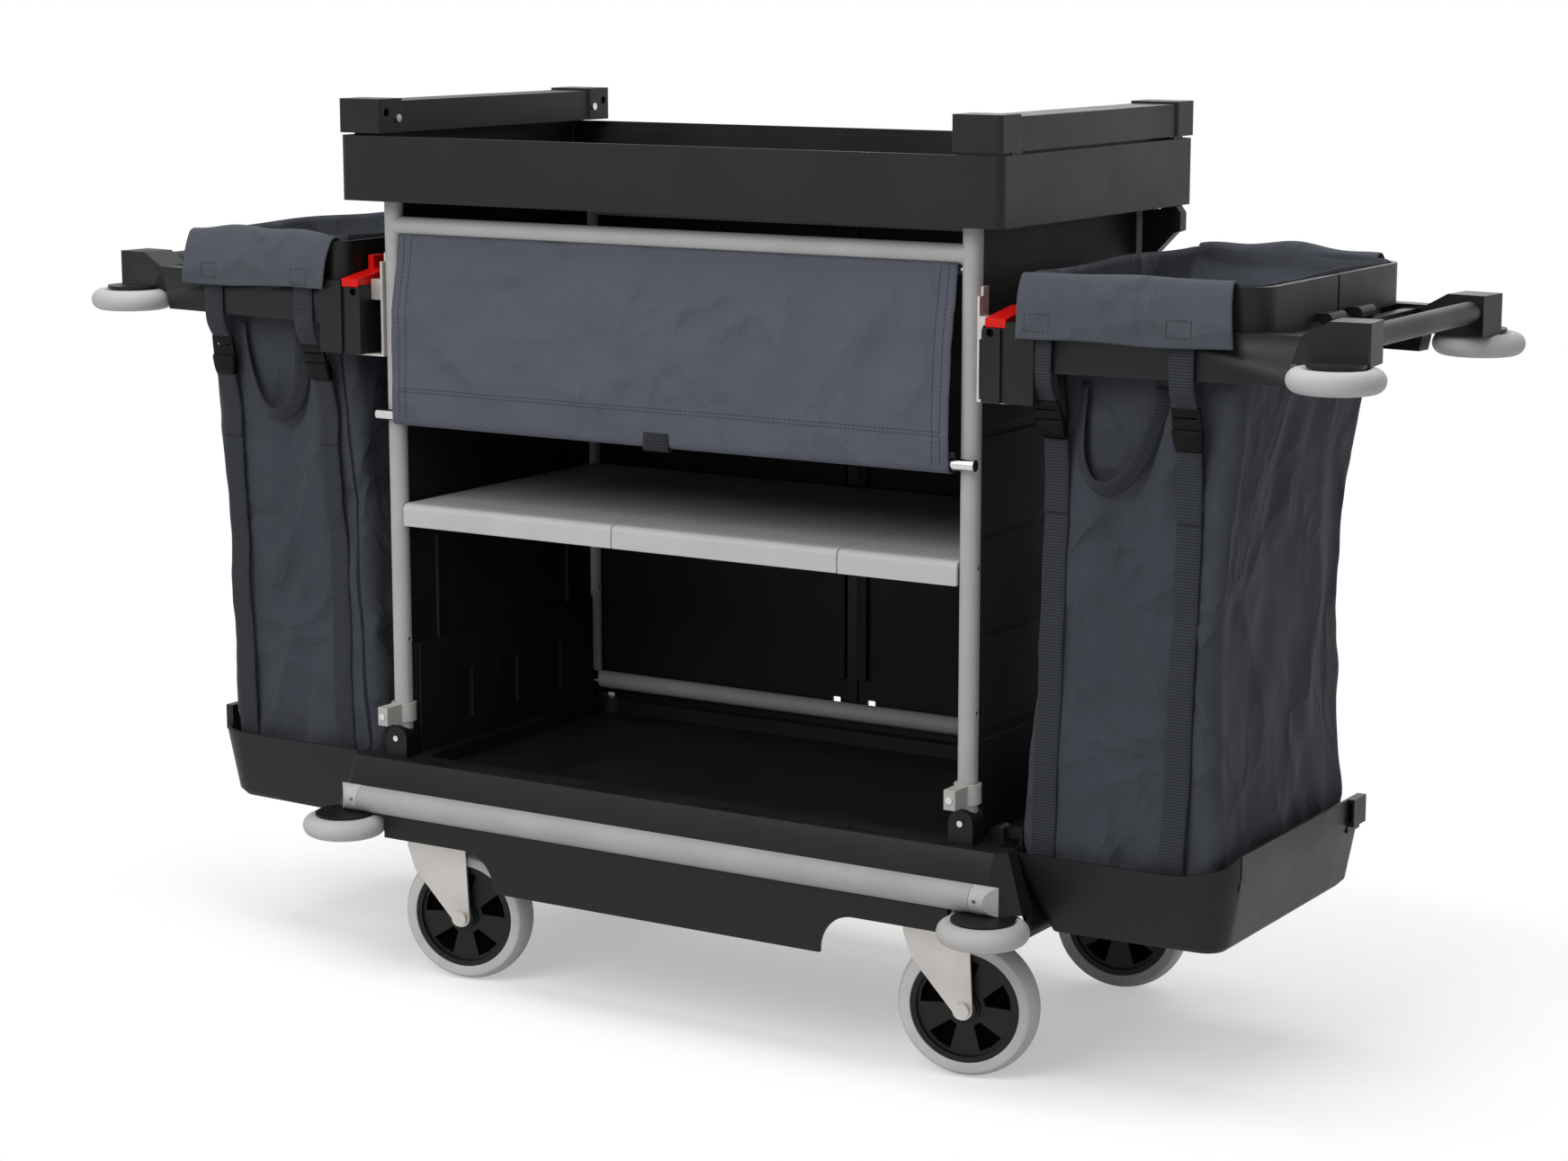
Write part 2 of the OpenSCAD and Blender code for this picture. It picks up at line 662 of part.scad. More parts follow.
module frame_hooks() {
  top = tip_top + 17;
  x0 = px + post_r + 0.1;
  y1 = py + post_r - gap;
  y0 = arm_y0 - plate_t + 1;
  color("#9a9a9a") for (i = [-1, 1], j = [-1, 1]) side(i) front(j) {
    difference() {
      translate([x0, -y1, plate_bottom - hook_gauge - gap]) cube([hook_gauge, y1 - y0 + 4, top - plate_bottom + hook_gauge]);
      translate([x0 - 1, -y1 - 1, top - 10]) cube([hook_gauge + 2, 9, 11]);
    }
    translate([x0, -y1, plate_bottom - hook_gauge - gap]) cube([arm_x0 - x0 + 26, y1 - y0, hook_gauge]);
    // spacer block between hook and arm
    translate([x0 + hook_gauge, -y1, arm_top - 22]) cube([arm_x0 - x0 - hook_gauge - gap, y1 - y0, 24]);
  }
}
module steel_screws() {
  color("#d8d8d8") {
    // screws in the gallery end blocks, the front feet and the blind catches
    for (i = [-1, 1], j = [-1, 1]) side(i) front(j)
      translate([tx - gallery_w - 1, -ty + block_l - 11, gallery_z + gallery_h * 0.42]) rod_x(9, 2);
    for (i = [-1, 1]) side(i) translate([px, -py - post_r - foot_out - 1, ledge_z + foot_h - foot_w / 2]) rod_y(7, 2);
    for (i = [-1, 1]) side(i)
      translate([px, -py - post_r - catch_out - 0.8, catch_z + catch_h / 2]) rod_y(8, 1.6);
  }
}

// Walls
module side_panel(s) {
  y = panel_y;
  h = post_height;
  step_h = 134;
  color("#303130") side(s) difference() {
    union() {
      translate([panel_in, -y, ledge_z]) cube([panel_gauge, 2 * y, h]);
      // thicker foot of the panel, inside, and two upright ribs
      translate([panel_in - 7, -y + 6, ledge_z]) cube([8, 2 * y - 12, step_h]);
      for (j = [-1, 1]) translate([panel_in - 3, j * y * 0.72 - 3, ledge_z + step_h - 1])
        cube([4, 6, shelf_rise - shelf_lip - step_h - bar_h]);
    }
    for (k = [1 : groove_count]) translate([panel_out - 2, -y + 14, ledge_z + k * h / (groove_count + 1) - groove_w / 2])
      cube([3, 2 * y - 28, groove_w]);
    for (k = [-1 : 1]) translate([panel_in - 8, k * y * 0.5 - 16, ledge_z + 26]) cube([5, 32, 62]);
  }
}
door_z0 = ledge_z + door_clear;
door_h = post_height - 2 * door_clear - 4;
module rear_door(s) {
  x0 = door_gap / 2;
  x1 = px - 2;
  color("#262726") side(s) difference() {
    union() {
      translate([x0, door_y, door_z0]) cube([x1 - x0, door_gauge, door_h]);
      // upright ridge along the seam, and a rib in the middle of the leaf
      translate([x0 + 8, door_y - 7, door_z0 + 60]) cube([13, 8, door_h - 130]);
      translate([(x0 + x1) / 2 - 4, door_y + door_gauge - 1, door_z0 + 20]) cube([8, 4, door_h - 40]);
      // knuckles
      for (z = hinge_z) {
        translate([hinge_x, hinge_y, z + gap]) cylinder(d = door_pin_d + 8, h = knuckle_h - gap);
        translate([x1 - 22, door_y + 1, z + gap]) cube([hinge_x - x1 + 22, hinge_y - door_y + 2, knuckle_h - gap]);
      }
    }
    for (z = hinge_z) translate([hinge_x, hinge_y, z - 20]) cylinder(d = door_pin_d + 2 * play, h = knuckle_h + 50);
    // small window at the foot of the seam
    translate([x0 + 18, door_y - 20, low_rail_z + 6]) cube([12, 60, 8]);
  }
}

// Tray and gallery
gallery_z = tray_top + gallery_gap;
module top_tray() {
  color("#2c302f") difference() {
    translate([0, 0, tray_z]) linear_extrude(tray_height) rrect(tray_length, tray_depth, tray_r);
    translate([0, 0, tray_z + tray_floor]) linear_extrude(tray_height)
      rrect(tray_length - 2 * tray_wall, tray_depth - 2 * tray_wall, max(2, tray_r - tray_wall));
    // inner step under the rim
    translate([0, 0, tray_top - 8]) linear_extrude(10)
      rrect(tray_length - tray_wall, tray_depth - tray_wall, tray_r - tray_wall / 2);
  }
}
module gallery_rail(s) {
  cut = 4;
  color("#2c302f") side(s) difference() {
    union() {
      translate([tx - gallery_w + block_step, -ty + block_l - 1, gallery_z])
        cube([gallery_w - 2 * block_step, tray_depth - 2 * block_l + 2, gallery_h - block_step]);
      for (j = [-1, 1]) translate([tx - gallery_w / 2, j * (ty - block_l / 2), gallery_z])
        linear_extrude(gallery_h) rrect(gallery_w, block_l, 5);
      // feet that seat the rail on the tray wall
      for (j = [-1, 1]) translate([tx - tray_wall * 0.25 - 0.5 - 1.2, j * (ty - block_l + 8), gallery_z - gallery_gap])
        translate([-0.6, -block_l / 4, 0]) cube([2, block_l / 2, gallery_gap + 1]);
    }
    // channel from below and accessory holes from inside
    translate([tx - gallery_w + block_step + cut, -ty + block_l + cut, gallery_z - 1])
      cube([gallery_w - 2 * block_step - 2 * cut, tray_depth - 2 * (block_l + cut), gallery_h - block_step - cut]);
    for (j = [-1, 1]) translate([tx - gallery_w - 1, j * (ty - 14), gallery_z + gallery_h * 0.6])
      rotate([0, 90, 0]) cylinder(d = block_hole_d, h = block_hole_l + 1);
  }
}
module tray_brackets() {
  t = 16;
  lip = 5;
  x0 = px + post_r - 2;
  x1 = tx + lip;
  // steps of the gusset as shares of its reach and of its drop
  w = x1 - x0;
  h = top_rail_drop * 2;
  color("#101010") for (i = [-1, 1]) side(i) difference() {
    translate([0, py - t / 2, 0]) xz(t) polygon([[x0, tray_z - lip], [x0 + 0.47 * w, tray_z - lip], [x0 + 0.47 * w, tray_z],
      [tx - 1, tray_z], [x1, tray_z - 0.13 * h], [x1, tray_z - 0.47 * h], [x1 - 0.17 * w, tray_z - 0.52 * h],
      [x0 + 0.3 * w, tray_z - 0.95 * h], [x0, tray_z - h]]);
    translate([px, py, 0]) cylinder(d = post_d + 2 * snug, h = tray_top);
  }
}

// Shelf
module shelf_profile() {
  difference() {
    union() {
      translate([-shelf_y + shelf_r, shelf_z - shelf_lip]) square([2 * (shelf_y - shelf_r) - 14, shelf_lip]);
      translate([-shelf_y, shelf_z - shelf_lip]) square([2 * shelf_y - 14, shelf_lip - shelf_r]);
      translate([-shelf_y + shelf_r, shelf_z - shelf_r]) circle(shelf_r);
      translate([shelf_y - 14 - shelf_r, shelf_z - shelf_r]) circle(shelf_r);
    }
    translate([-shelf_y + shelf_gauge, shelf_z - shelf_lip - 1])
      square([2 * shelf_y - 14 - 2 * shelf_gauge, shelf_lip - shelf_gauge + 1 - shelf_r * 0.3]);
  }
}
shelf_in = shelf_gauge + shelf_r * 0.3;
module shelf_planks() {
  unit = 2 * shelf_x / 5;
  w = [2 * unit, 2 * unit, unit];
  x = [-shelf_x, -shelf_x + 2 * unit, -shelf_x + 4 * unit];
  color("#b8b8b8") for (k = [0 : 2]) translate([x[k] + shelf_seam / 2, 0, 0]) yz(w[k] - shelf_seam) shelf_profile();
}
module shelf_bars() {
  color("#8c8c8c") for (j = [-1, 1]) translate([-panel_in, j * shelf_y * 0.62 - bar_w / 2 - 7, shelf_z - shelf_in - bar_h])
    cube([2 * panel_in, bar_w, bar_h]);
}

// Blind
module blind_rod() {
  color("#777777") difference() {
    translate([0, -rod_y, rod_z]) rod_x(rod_d, post_span_x);
    for (i = [-1, 1]) translate([i * px, -py, rod_z]) cylinder(d = post_d + 2 * snug, h = 60, center = true);
  }
}
module blind_cloth() {
  ro = rod_d / 2 + gap;
  bo = bar_d / 2 + gap;
  t = cloth_gauge;
  color("#5a5c68") translate([-cloth_x, 0, 0]) yz(2 * cloth_x) difference() {
    union() {
      translate([-rod_y, rod_z]) circle(ro + t);
      translate([-bar_y, bar_z]) circle(bo + t);
      polygon([[-rod_y - ro - t * 0.9, rod_z], [-rod_y - ro - t * 0.1, rod_z],
        [-bar_y - bo - t * 0.1, bar_z], [-bar_y - bo - t * 0.9, bar_z]]);
      translate([-bar_y - bo - t * 0.9, bar_z - blind_hem]) square([t * 0.8, blind_hem]);
    }
    translate([-rod_y, rod_z]) circle(ro);
    translate([-bar_y, bar_z]) circle(bo);
  }
}
module blind_bar() { color("#cfcfcf") translate([0, -bar_y, bar_z]) rod_x(bar_d, bar_length); }

// Bag frames
module arm_profile() {
  l = arm_len;
  arc = 8;
  polygon([[plate_len - 2, arm_top - arm_h], [l - tip_l - 8, arm_top - arm_h], [l - tip_l - 3, tip_bottom],
    [l, tip_bottom], [l, tip_top], [l - tip_l * 0.55, tip_top], [l - tip_l + 6, arm_top], [plate_len - 2, arm_top]]);
}
module plate_profile() {
  r = 12;
  translate([0, plate_bottom]) square([plate_len, plate_h - r]);
  translate([r, arm_top - r]) square([plate_len - r, r]);
  translate([r, arm_top - r]) circle(r);
}
module arm() {
  translate([arm_x0, -arm_y0, 0]) rotate(arm_a) {
    xz(arm_t) arm_profile();
    // thicker block at the tip
    xz(tip_t) polygon([[arm_len - tip_l + 6, tip_bottom], [arm_len, tip_bottom], [arm_len, tip_top],
      [arm_len - tip_l * 0.55, tip_top], [arm_len - tip_l + 6, arm_top]]);
  }
}
module bag_frame(s) {
  cross_h = 20;
  color("#2c302f") side(s) difference() {
    union() {
      for (j = [-1, 1]) front(j) {
        difference() {
          arm();
          translate([arm_x0 - 20, -arm_y0 - 30, plate_bottom - 1]) cube([22, 90, plate_h + 40]);
        }
        translate([arm_x0, -arm_y0, 0]) difference() {
          xz(plate_t) plate_profile();
          // groove that parts the plate, and the pivot hole
          translate([22, -1, plate_bottom - 1]) cube([6, 4, plate_h + 2]);
          translate([10, -1, arm_top - 12]) rotate([-90, 0, 0]) cylinder(d = pivot_d, h = 10);
        }
        // flange over the arm buffer
        translate([buf_x, -buf_y, tip_bottom]) cylinder(d = ring_d - 2 * ring_tube + 10, h = 4);
        translate([buf_x, -buf_y, buf_z - ring_tube / 2])
          cylinder(d = ring_d - 2 * ring_tube - 2 * play, h = tip_bottom - buf_z + ring_tube / 2 + 1);
      }
      // cross members at both ends
      translate([arm_x0 + 4, -arm_y0 + plate_t - 1, arm_top - 44]) cube([14, 2 * (arm_y0 - plate_t + 1), cross_h]);
      translate([rim_x1 + 8, -arm_y(rim_x1 + 8) + arm_t - 3, arm_top - 30])
        cube([14, 2 * (arm_y(rim_x1 + 8) - arm_t + 3), 26]);
    }
    // bores for the end handle
    translate([handle_x, 0, handle_z]) rod_y(handle_d + 2 * snug, 2 * (arm_y(handle_x) - 10));
    // seat of the latch
    for (j = [-1, 1]) translate([latch_x, j * (arm_y0 - plate_t / 2), arm_top])
      cube([latch_len + 2 * gap, plate_t + 2, 2 * latch_sink], center = true);
  }
}
latch_len = 25;
latch_sink = 7;
latch_x = arm_x0 + 15.5;
module handle(s) {
  color("#333434") side(s) translate([handle_x, 0, handle_z]) rod_y(handle_d, 2 * (arm_y(handle_x) - 10) - 1);
}
module rim_plan(inset) {
  ro = 34 - inset;
  ri = 22 - inset;
  hull() {
    for (j = [-1, 1]) {
      translate([rim_x0 + inset + ri, j * (arm_y(rim_x0) - arm_t * 0.3 - inset - ri)]) circle(ri, $fn = 32);
      translate([rim_x1 - inset - ro, j * (arm_y(rim_x1) - arm_t * 0.3 - inset - ro)]) circle(ro, $fn = 32);
    }
  }
}
module bag_rim(s) {
  color("#1d1e1e") side(s) {
    translate([0, 0, arm_top]) difference() {
      linear_extrude(rim_h) difference() { rim_plan(0); rim_plan(rim_t); }
      translate([rim_x0 - 10, -rim_gap / 2, -1]) cube([rim_x1 - rim_x0 + 40, rim_gap, rim_h + 2]);
    }
    // hinge knuckles at the outer end
    for (j = [-1, 1]) difference() {
      union() {
        translate([rim_x1 + 12, j * 40, arm_top + 3]) rod_y(14, 40);
        translate([rim_x1 - 2, j * 40 - 16, arm_top + 1]) cube([14, 32, 8]);
      }
      translate([rim_x1 - 30, -100, arm_top - 24]) cube([80, 200, 20]);
    }
  }
}
module latch(s) {
  // wedge lever across the frame with a raised grip
  w = latch_len;
  z0 = arm_top - latch_sink + gap;
  color("#d81e1e") side(s) translate([latch_x, 0, 0]) {
    for (j = [-1, 1]) front(j) {
      translate([-w / 2, 0, 0]) yz(w) polygon([[-arm_y0 + 1, z0], [-arm_y0 + 1, arm_top + 3],
        [-arm_y0 + 60, arm_top + 12], [-arm_y0 + 60, z0 + 2], [-arm_y0 + plate_t + 1, z0]]);
      translate([w / 2 - 8, -arm_y0 + 52, arm_top + 8]) cube([8, 20, 19]);
    }
    translate([-w / 2, -arm_y0 + 58, arm_top + 2]) cube([7, 2 * (arm_y0 - 58), 8]);
  }
}
module arm_buffer(i, j) { color("#b5b5b5") translate([i * buf_x, j * buf_y, 0]) buffer_ring(buf_z); }

// Bags
bag_top = rim_top + 4;
bag_base = bin_bottom + bin_wall + 1;
mouth_x0 = rim_x0 + rim_t + 4;
mouth_x1 = rim_x1 - rim_t - 4;
mouth_y = arm_y(rim_x1) - arm_t * 0.3 - rim_t - 6;
// levels of the bag: height, inner x, outer x, half depth, corner radius
bag_level = [
  [bag_base, bin_x0 + bin_draft_in + bin_wall + 3, bin_x1 - bin_draft - bin_wall - 8, bin_depth / 2 - bin_draft - bin_wall - 9, 28],
  [bin_top + 8, bin_x0 + bin_wall + 3, bin_x1 - 19, bin_depth / 2 - bin_wall - 13, 24],
  [bag_base + (bag_top - bag_base) * 0.385, bin_x0 + 10, bin_x1 - 18, bin_depth / 2 - bin_wall - 15, 24],
  [bag_base + (bag_top - bag_base) * 0.6, bin_x0 + 17, bin_x1 - 14, mouth_y, 22],
  [plate_bottom - 10, bin_x0 + 38, bin_x1 - 4, mouth_y - 3, 20],
  [bag_top, mouth_x0, mouth_x1, mouth_y, 18]];
bag_top_level = len(bag_level) - 1;
// one ring of a level: v is the level, g the inset, z the height
corner_n = 6;
ring_n = 4 * (corner_n + 1);
function bag_ring(v, g, z) = [for (q = [0 : 3], k = [0 : corner_n]) let(a = 180 + 90 * q + 90 * k / corner_n,
    rad = v[4] - g / 2, mx = (v[1] + v[2]) / 2, hx = (v[2] - v[1]) / 2 - g - rad, hy = v[3] - g - rad)
    [mx + (q == 1 || q == 2 ? hx : -hx) + rad * cos(a), (q < 2 ? -hy : hy) + rad * sin(a), z]];
module bag_shell() {
  m = len(bag_level);
  n = ring_n;
  points = [for (v = bag_level) each bag_ring(v, 0, v[0]),
    for (k = [0 : m - 1]) each bag_ring(bag_level[k], bag_gauge, bag_level[k][0] + (k == 0 ? bag_gauge : 0))];
  faces = [[for (i = [0 : n - 1]) i], [for (i = [n - 1 : -1 : 0]) m * n + i],
    for (k = [0 : m - 2], i = [0 : n - 1]) let(j = (i + 1) % n, a = k * n, b = a + n)
      each [[a + i, b + i, b + j], [a + i, b + j, a + j]],
    for (k = [m : 2 * m - 2], i = [0 : n - 1]) let(j = (i + 1) % n, a = k * n, b = a + n)
      each [[a + i, b + j, b + i], [a + i, a + j, b + j]],
    for (i = [0 : n - 1]) let(j = (i + 1) % n, a = (m - 1) * n, b = (2 * m - 1) * n)
      each [[a + i, b + i, b + j], [a + i, b + j, a + j]]];
  polyhedron(points, faces);
}
flap_x0 = arm_x0 + 42;
flap_x1 = flap_x0 + 242;
flap_z = bag_top - flap_drop;
function flap_y(x) = arm_y(x) + flap_gap;
module bag(s) {
  g = bag_gauge;
  color("#44474f") side(s) {
    bag_shell();
    // cloth over the rim, and the flap in front of the arm
    for (j = [-1, 1]) front(j) {
      y0 = -flap_y(flap_x0);
      y1 = -flap_y(flap_x1);
      translate([0, 0, rim_top + 0.2]) linear_extrude(g)
        polygon([[flap_x0, 1 - mouth_y], [flap_x0, y0], [flap_x1, y1], [flap_x1, 1 - mouth_y]]);
      translate([0, 0, flap_z]) linear_extrude(rim_top + 0.2 + g - flap_z)
        polygon([[flap_x0, y0 + g], [flap_x0, y0], [flap_x1, y1], [flap_x1, y1 + g]]);
    }
  }
}
strap_x = [81, 228];
loop_x = 148;
loop_r = 48;
loop_drop = 44;
module bag_straps(s) {
  t = 2.4;
  by = -mouth_y - t / 2 - 1.2;
  // webbing runs down the front and rear of the bag, close to the cloth at each level
  run = [for (k = [bag_top_level - 2 : -1 : 1]) [-bag_level[k][3] - t / 2 - 0.2, bag_level[k][0]]];
  color("#34363c") side(s) for (j = [-1, 1]) front(j) {
    for (x = strap_x) translate([arm_x0 + x, 0, 0]) {
      fy = -arm_y(arm_x0 + x - strap_w / 2) - 0.8 - t / 2;
      ribbon([[fy, flap_z + 16], [fy, flap_z - 38], [by - 7, plate_bottom - 8], [by, plate_bottom - 40],
        for (v = run) v], t, strap_w);
      // side release buckle
      d = [by - 7 - fy, plate_bottom - 8 - flap_z + 38];
      translate([0, fy, flap_z - 38]) rotate([atan2(d[1], d[0]) + 90, 0, 0])
        translate([-strap_w / 2 - 3, -5.5, -46]) difference() {
          cube([strap_w + 6, 11, 46]);
          for (k = [0, 1]) translate([k * (strap_w + 6) - 3, -1, 14]) cube([6, 13, 12]);
        }
    }
    // carrying loop between the two straps
    translate([arm_x0 + loop_x, by + 0.7, plate_bottom - 8]) xz(t) difference() {
      union() {
        translate([0, -loop_drop]) circle(loop_r);
        translate([-loop_r, -loop_drop]) square([2 * loop_r, loop_drop + 30]);
      }
      translate([0, -loop_drop]) circle(loop_r - strap_w * 0.8);
      translate([-loop_r + strap_w * 0.8, -loop_drop]) square([2 * (loop_r - strap_w * 0.8), loop_drop + 40]);
    }
  }
}

// Bins
module bin_shell(g, lift) {
  r0 = 44;
  r1 = 30;
  d = bin_depth / 2;
  hull() for (j = [-1, 1]) {
    translate([bin_x0 + g + 14, j * (d - g - 14), bin_top + lift]) cylinder(r = 14, h = e, $fn = 32);
    translate([bin_x1 - g - r0, j * (d - g - r0), bin_top + lift]) cylinder(r = r0, h = e, $fn = 32);
    translate([bin_x0 + bin_draft_in + g + 12, j * (d - bin_draft - g - 12), bin_bottom + g]) cylinder(r = 12, h = e, $fn = 32);
    translate([bin_x1 - bin_draft - g - r1, j * (d - bin_draft - g - r1), bin_bottom + g + 8]) cylinder(r = r1, h = e, $fn = 32);
    translate([bin_x1 - bin_draft - g - r1, j * (d - bin_draft - g - r1), bin_bottom + g]) cylinder(r = r1 - 8, h = e, $fn = 32);
  }
}
module bin(s) {
  lip_y = bin_depth / 2 - 34;
  arm_w = 9;
  color("#2e3230") side(s) difference() {
    union() {
      difference() { bin_shell(0, 0); bin_shell(bin_wall, 1); }
      // raised outer wall with its gripping lip
      translate([bin_x1 - bin_wall, -lip_y, bin_top - 16]) cube([bin_wall, 2 * lip_y, bin_lip + 16]);
      translate([bin_x1 - 1, -lip_y, bin_top - 8]) cube([8, 2 * lip_y, 4]);
      translate([bin_x1 - 1, -lip_y, bin_top + bin_lip - 4]) cube([8, 2 * lip_y, 4]);
      translate([bin_x1 + 4, -lip_y, bin_top - 8]) cube([3, 2 * lip_y, bin_lip + 8]);
      for (j = [-1, 1]) translate([bin_x1 - 1, j * (lip_y - 1.5) - 1.5, bin_top - 8]) cube([8, 3, bin_lip + 8]);
      // hinge arms that reach in to the pins on the deck
      for (j = [-1, 1]) front(j) translate([0, -pin_y + 10 + gap, 0]) {
        xz(arm_w) {
          translate([pin_x, pin_z]) circle(8.5);
          translate([pin_x, pin_z - 6]) square([bin_x0 - pin_x + 7, 12]);
          translate([bin_x0 + 2, bin_top - 10]) square([5, pin_z - bin_top + 16]);
        }
      }
    }
    translate([pin_x, 0, pin_z]) rod_y(bin_pin_d + 2 * play, bin_depth + 20);
  }
}

base_deck();
deck_aprons();
bumper_strips();
strip_end_caps();
buffer_hubs();
castor_plates();
base_buffer(-1, -1);  // base_buffer_fl
base_buffer(1, -1);  // base_buffer_fr
base_buffer(-1, 1);  // base_buffer_rl
base_buffer(1, 1);  // base_buffer_rr
fork(-1, -1);  // fork_fl
fork(1, -1);  // fork_fr
fork(-1, 1);  // fork_rl
fork(1, 1);  // fork_rr
wheel_hub(-1, -1);  // wheel_hub_fl
wheel_hub(1, -1);  // wheel_hub_fr
wheel_hub(-1, 1);  // wheel_hub_rl
wheel_hub(1, 1);  // wheel_hub_rr
tyre(-1, -1);  // tyre_fl
tyre(1, -1);  // tyre_fr
tyre(-1, 1);  // tyre_rl
tyre(1, 1);  // tyre_rr
front_posts();
rear_posts();
front_top_rail();
rear_rails();
post_feet();
blind_catches();
frame_hooks();
steel_screws();
side_panel(-1);  // side_panel_left
side_panel(1);  // side_panel_right
rear_door(-1);  // rear_door_left
rear_door(1);  // rear_door_right
top_tray();
gallery_rail(-1);  // gallery_rail_left
gallery_rail(1);  // gallery_rail_right
tray_brackets();
shelf_planks();
shelf_bars();
blind_rod();
blind_cloth();
blind_bar();
bag_frame(-1);  // bag_frame_left
bag_frame(1);  // bag_frame_right
handle(-1);  // handle_left
handle(1);  // handle_right
bag_rim(-1);  // bag_rim_left
bag_rim(1);  // bag_rim_right
bag(-1);  // bag_left
bag(1);  // bag_right
bag_straps(-1);  // bag_straps_left
bag_straps(1);  // bag_straps_right
latch(-1);  // latch_left
latch(1);  // latch_right
arm_buffer(-1, -1);  // arm_buffer_fl
arm_buffer(1, -1);  // arm_buffer_fr
arm_buffer(-1, 1);  // arm_buffer_rl
arm_buffer(1, 1);  // arm_buffer_rr
bin(-1);  // bin_left
bin(1);  // bin_right
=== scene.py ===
"""Looks of the housekeeping cart: finishes, soft goods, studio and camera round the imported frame."""
import logging
import math
from dataclasses import dataclass
from enum import Enum
from typing import Any, Callable, Iterable, Sequence

import bmesh
import bpy
import numpy as np
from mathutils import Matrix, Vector, noise


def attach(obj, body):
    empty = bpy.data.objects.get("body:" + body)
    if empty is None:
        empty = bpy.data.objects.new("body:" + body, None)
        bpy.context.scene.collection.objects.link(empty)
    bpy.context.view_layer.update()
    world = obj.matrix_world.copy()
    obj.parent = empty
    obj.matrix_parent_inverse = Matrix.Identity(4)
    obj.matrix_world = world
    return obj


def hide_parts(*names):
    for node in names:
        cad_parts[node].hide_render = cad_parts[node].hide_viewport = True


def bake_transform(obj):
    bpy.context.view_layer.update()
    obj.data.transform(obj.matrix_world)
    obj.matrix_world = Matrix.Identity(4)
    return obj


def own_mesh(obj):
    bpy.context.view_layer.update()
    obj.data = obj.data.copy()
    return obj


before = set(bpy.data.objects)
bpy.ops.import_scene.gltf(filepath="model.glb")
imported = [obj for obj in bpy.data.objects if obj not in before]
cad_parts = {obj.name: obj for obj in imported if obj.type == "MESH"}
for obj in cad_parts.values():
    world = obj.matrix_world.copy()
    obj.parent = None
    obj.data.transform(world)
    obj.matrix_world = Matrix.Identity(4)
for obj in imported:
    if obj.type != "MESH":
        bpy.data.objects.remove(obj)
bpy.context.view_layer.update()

LOG = logging.getLogger("cart")
MM = 0.001
# points nearer than this, in metres, are one point
WELD_GAP = 0.00002
Point = tuple[float, float, float]
Pair = tuple[float, float]


class Side(Enum):
    """End of the cart, with the sign of its X."""

    LEFT = -1
    RIGHT = 1

    @property
    def word(self) -> str:
        """Name of the end as the frame's nodes spell it."""
        return self.name.lower()


class Face(Enum):
    """Long face of the cart, with the sign of its Y."""

    FRONT = -1
    REAR = 1

    @property
    def word(self) -> str:
        """Name of the face in piece names."""
        return self.name.lower()


class Corner(Enum):
    """Corner of the cart: front or rear, left or right."""

    FRONT_LEFT = "fl"
    FRONT_RIGHT = "fr"
    REAR_LEFT = "rl"
    REAR_RIGHT = "rr"


def at_ends(stem: str) -> tuple[str, ...]:
    """Names of a node that stands at both ends."""
    return f"{stem}_left", f"{stem}_right"


def at_corners(stem: str) -> tuple[str, ...]:
    """Names of a node that stands at every corner."""
    return tuple(f"{stem}_{corner.value}" for corner in Corner)


def hex_linear(code: str) -> tuple[float, float, float, float]:
    """Turn an sRGB hex colour to linear.

    Args:
        code: colour such as "#2c302f".

    Returns:
        Linear red, green, blue and an alpha of one.
    """
    parts = [int(code[i:i + 2], 16) / 255 for i in (1, 3, 5)]
    lin = [c / 12.92 if c <= 0.04045 else ((c + 0.055) / 1.055) ** 2.4 for c in parts]
    return lin[0], lin[1], lin[2], 1.0


def add_node(tree: bpy.types.NodeTree, kind: str, inputs: dict[Any, Any] | None = None,
             **settings: Any) -> bpy.types.Node:
    """Add a node with its settings, values and links.

    Args:
        tree: node tree that gets the node.
        kind: Blender's type name of the node.
        inputs: socket name or index to a value, or to another node's output.
        **settings: properties of the node.

    Returns:
        The new node.
    """
    node = tree.nodes.new(kind)
    for key, value in settings.items():
        setattr(node, key, value)
    for key, value in (inputs or {}).items():
        if isinstance(value, bpy.types.NodeSocket):
            tree.links.new(value, node.inputs[key])
        else:
            node.inputs[key].default_value = value
    return node


def new_tree(name: str) -> tuple[bpy.types.Material, bpy.types.NodeTree]:
    """Make an empty node material.

    Args:
        name: name of the material.

    Returns:
        The material and its node tree.
    """
    material = bpy.data.materials.new(name)
    material.use_nodes = True
    material.node_tree.nodes.clear()
    return material, material.node_tree


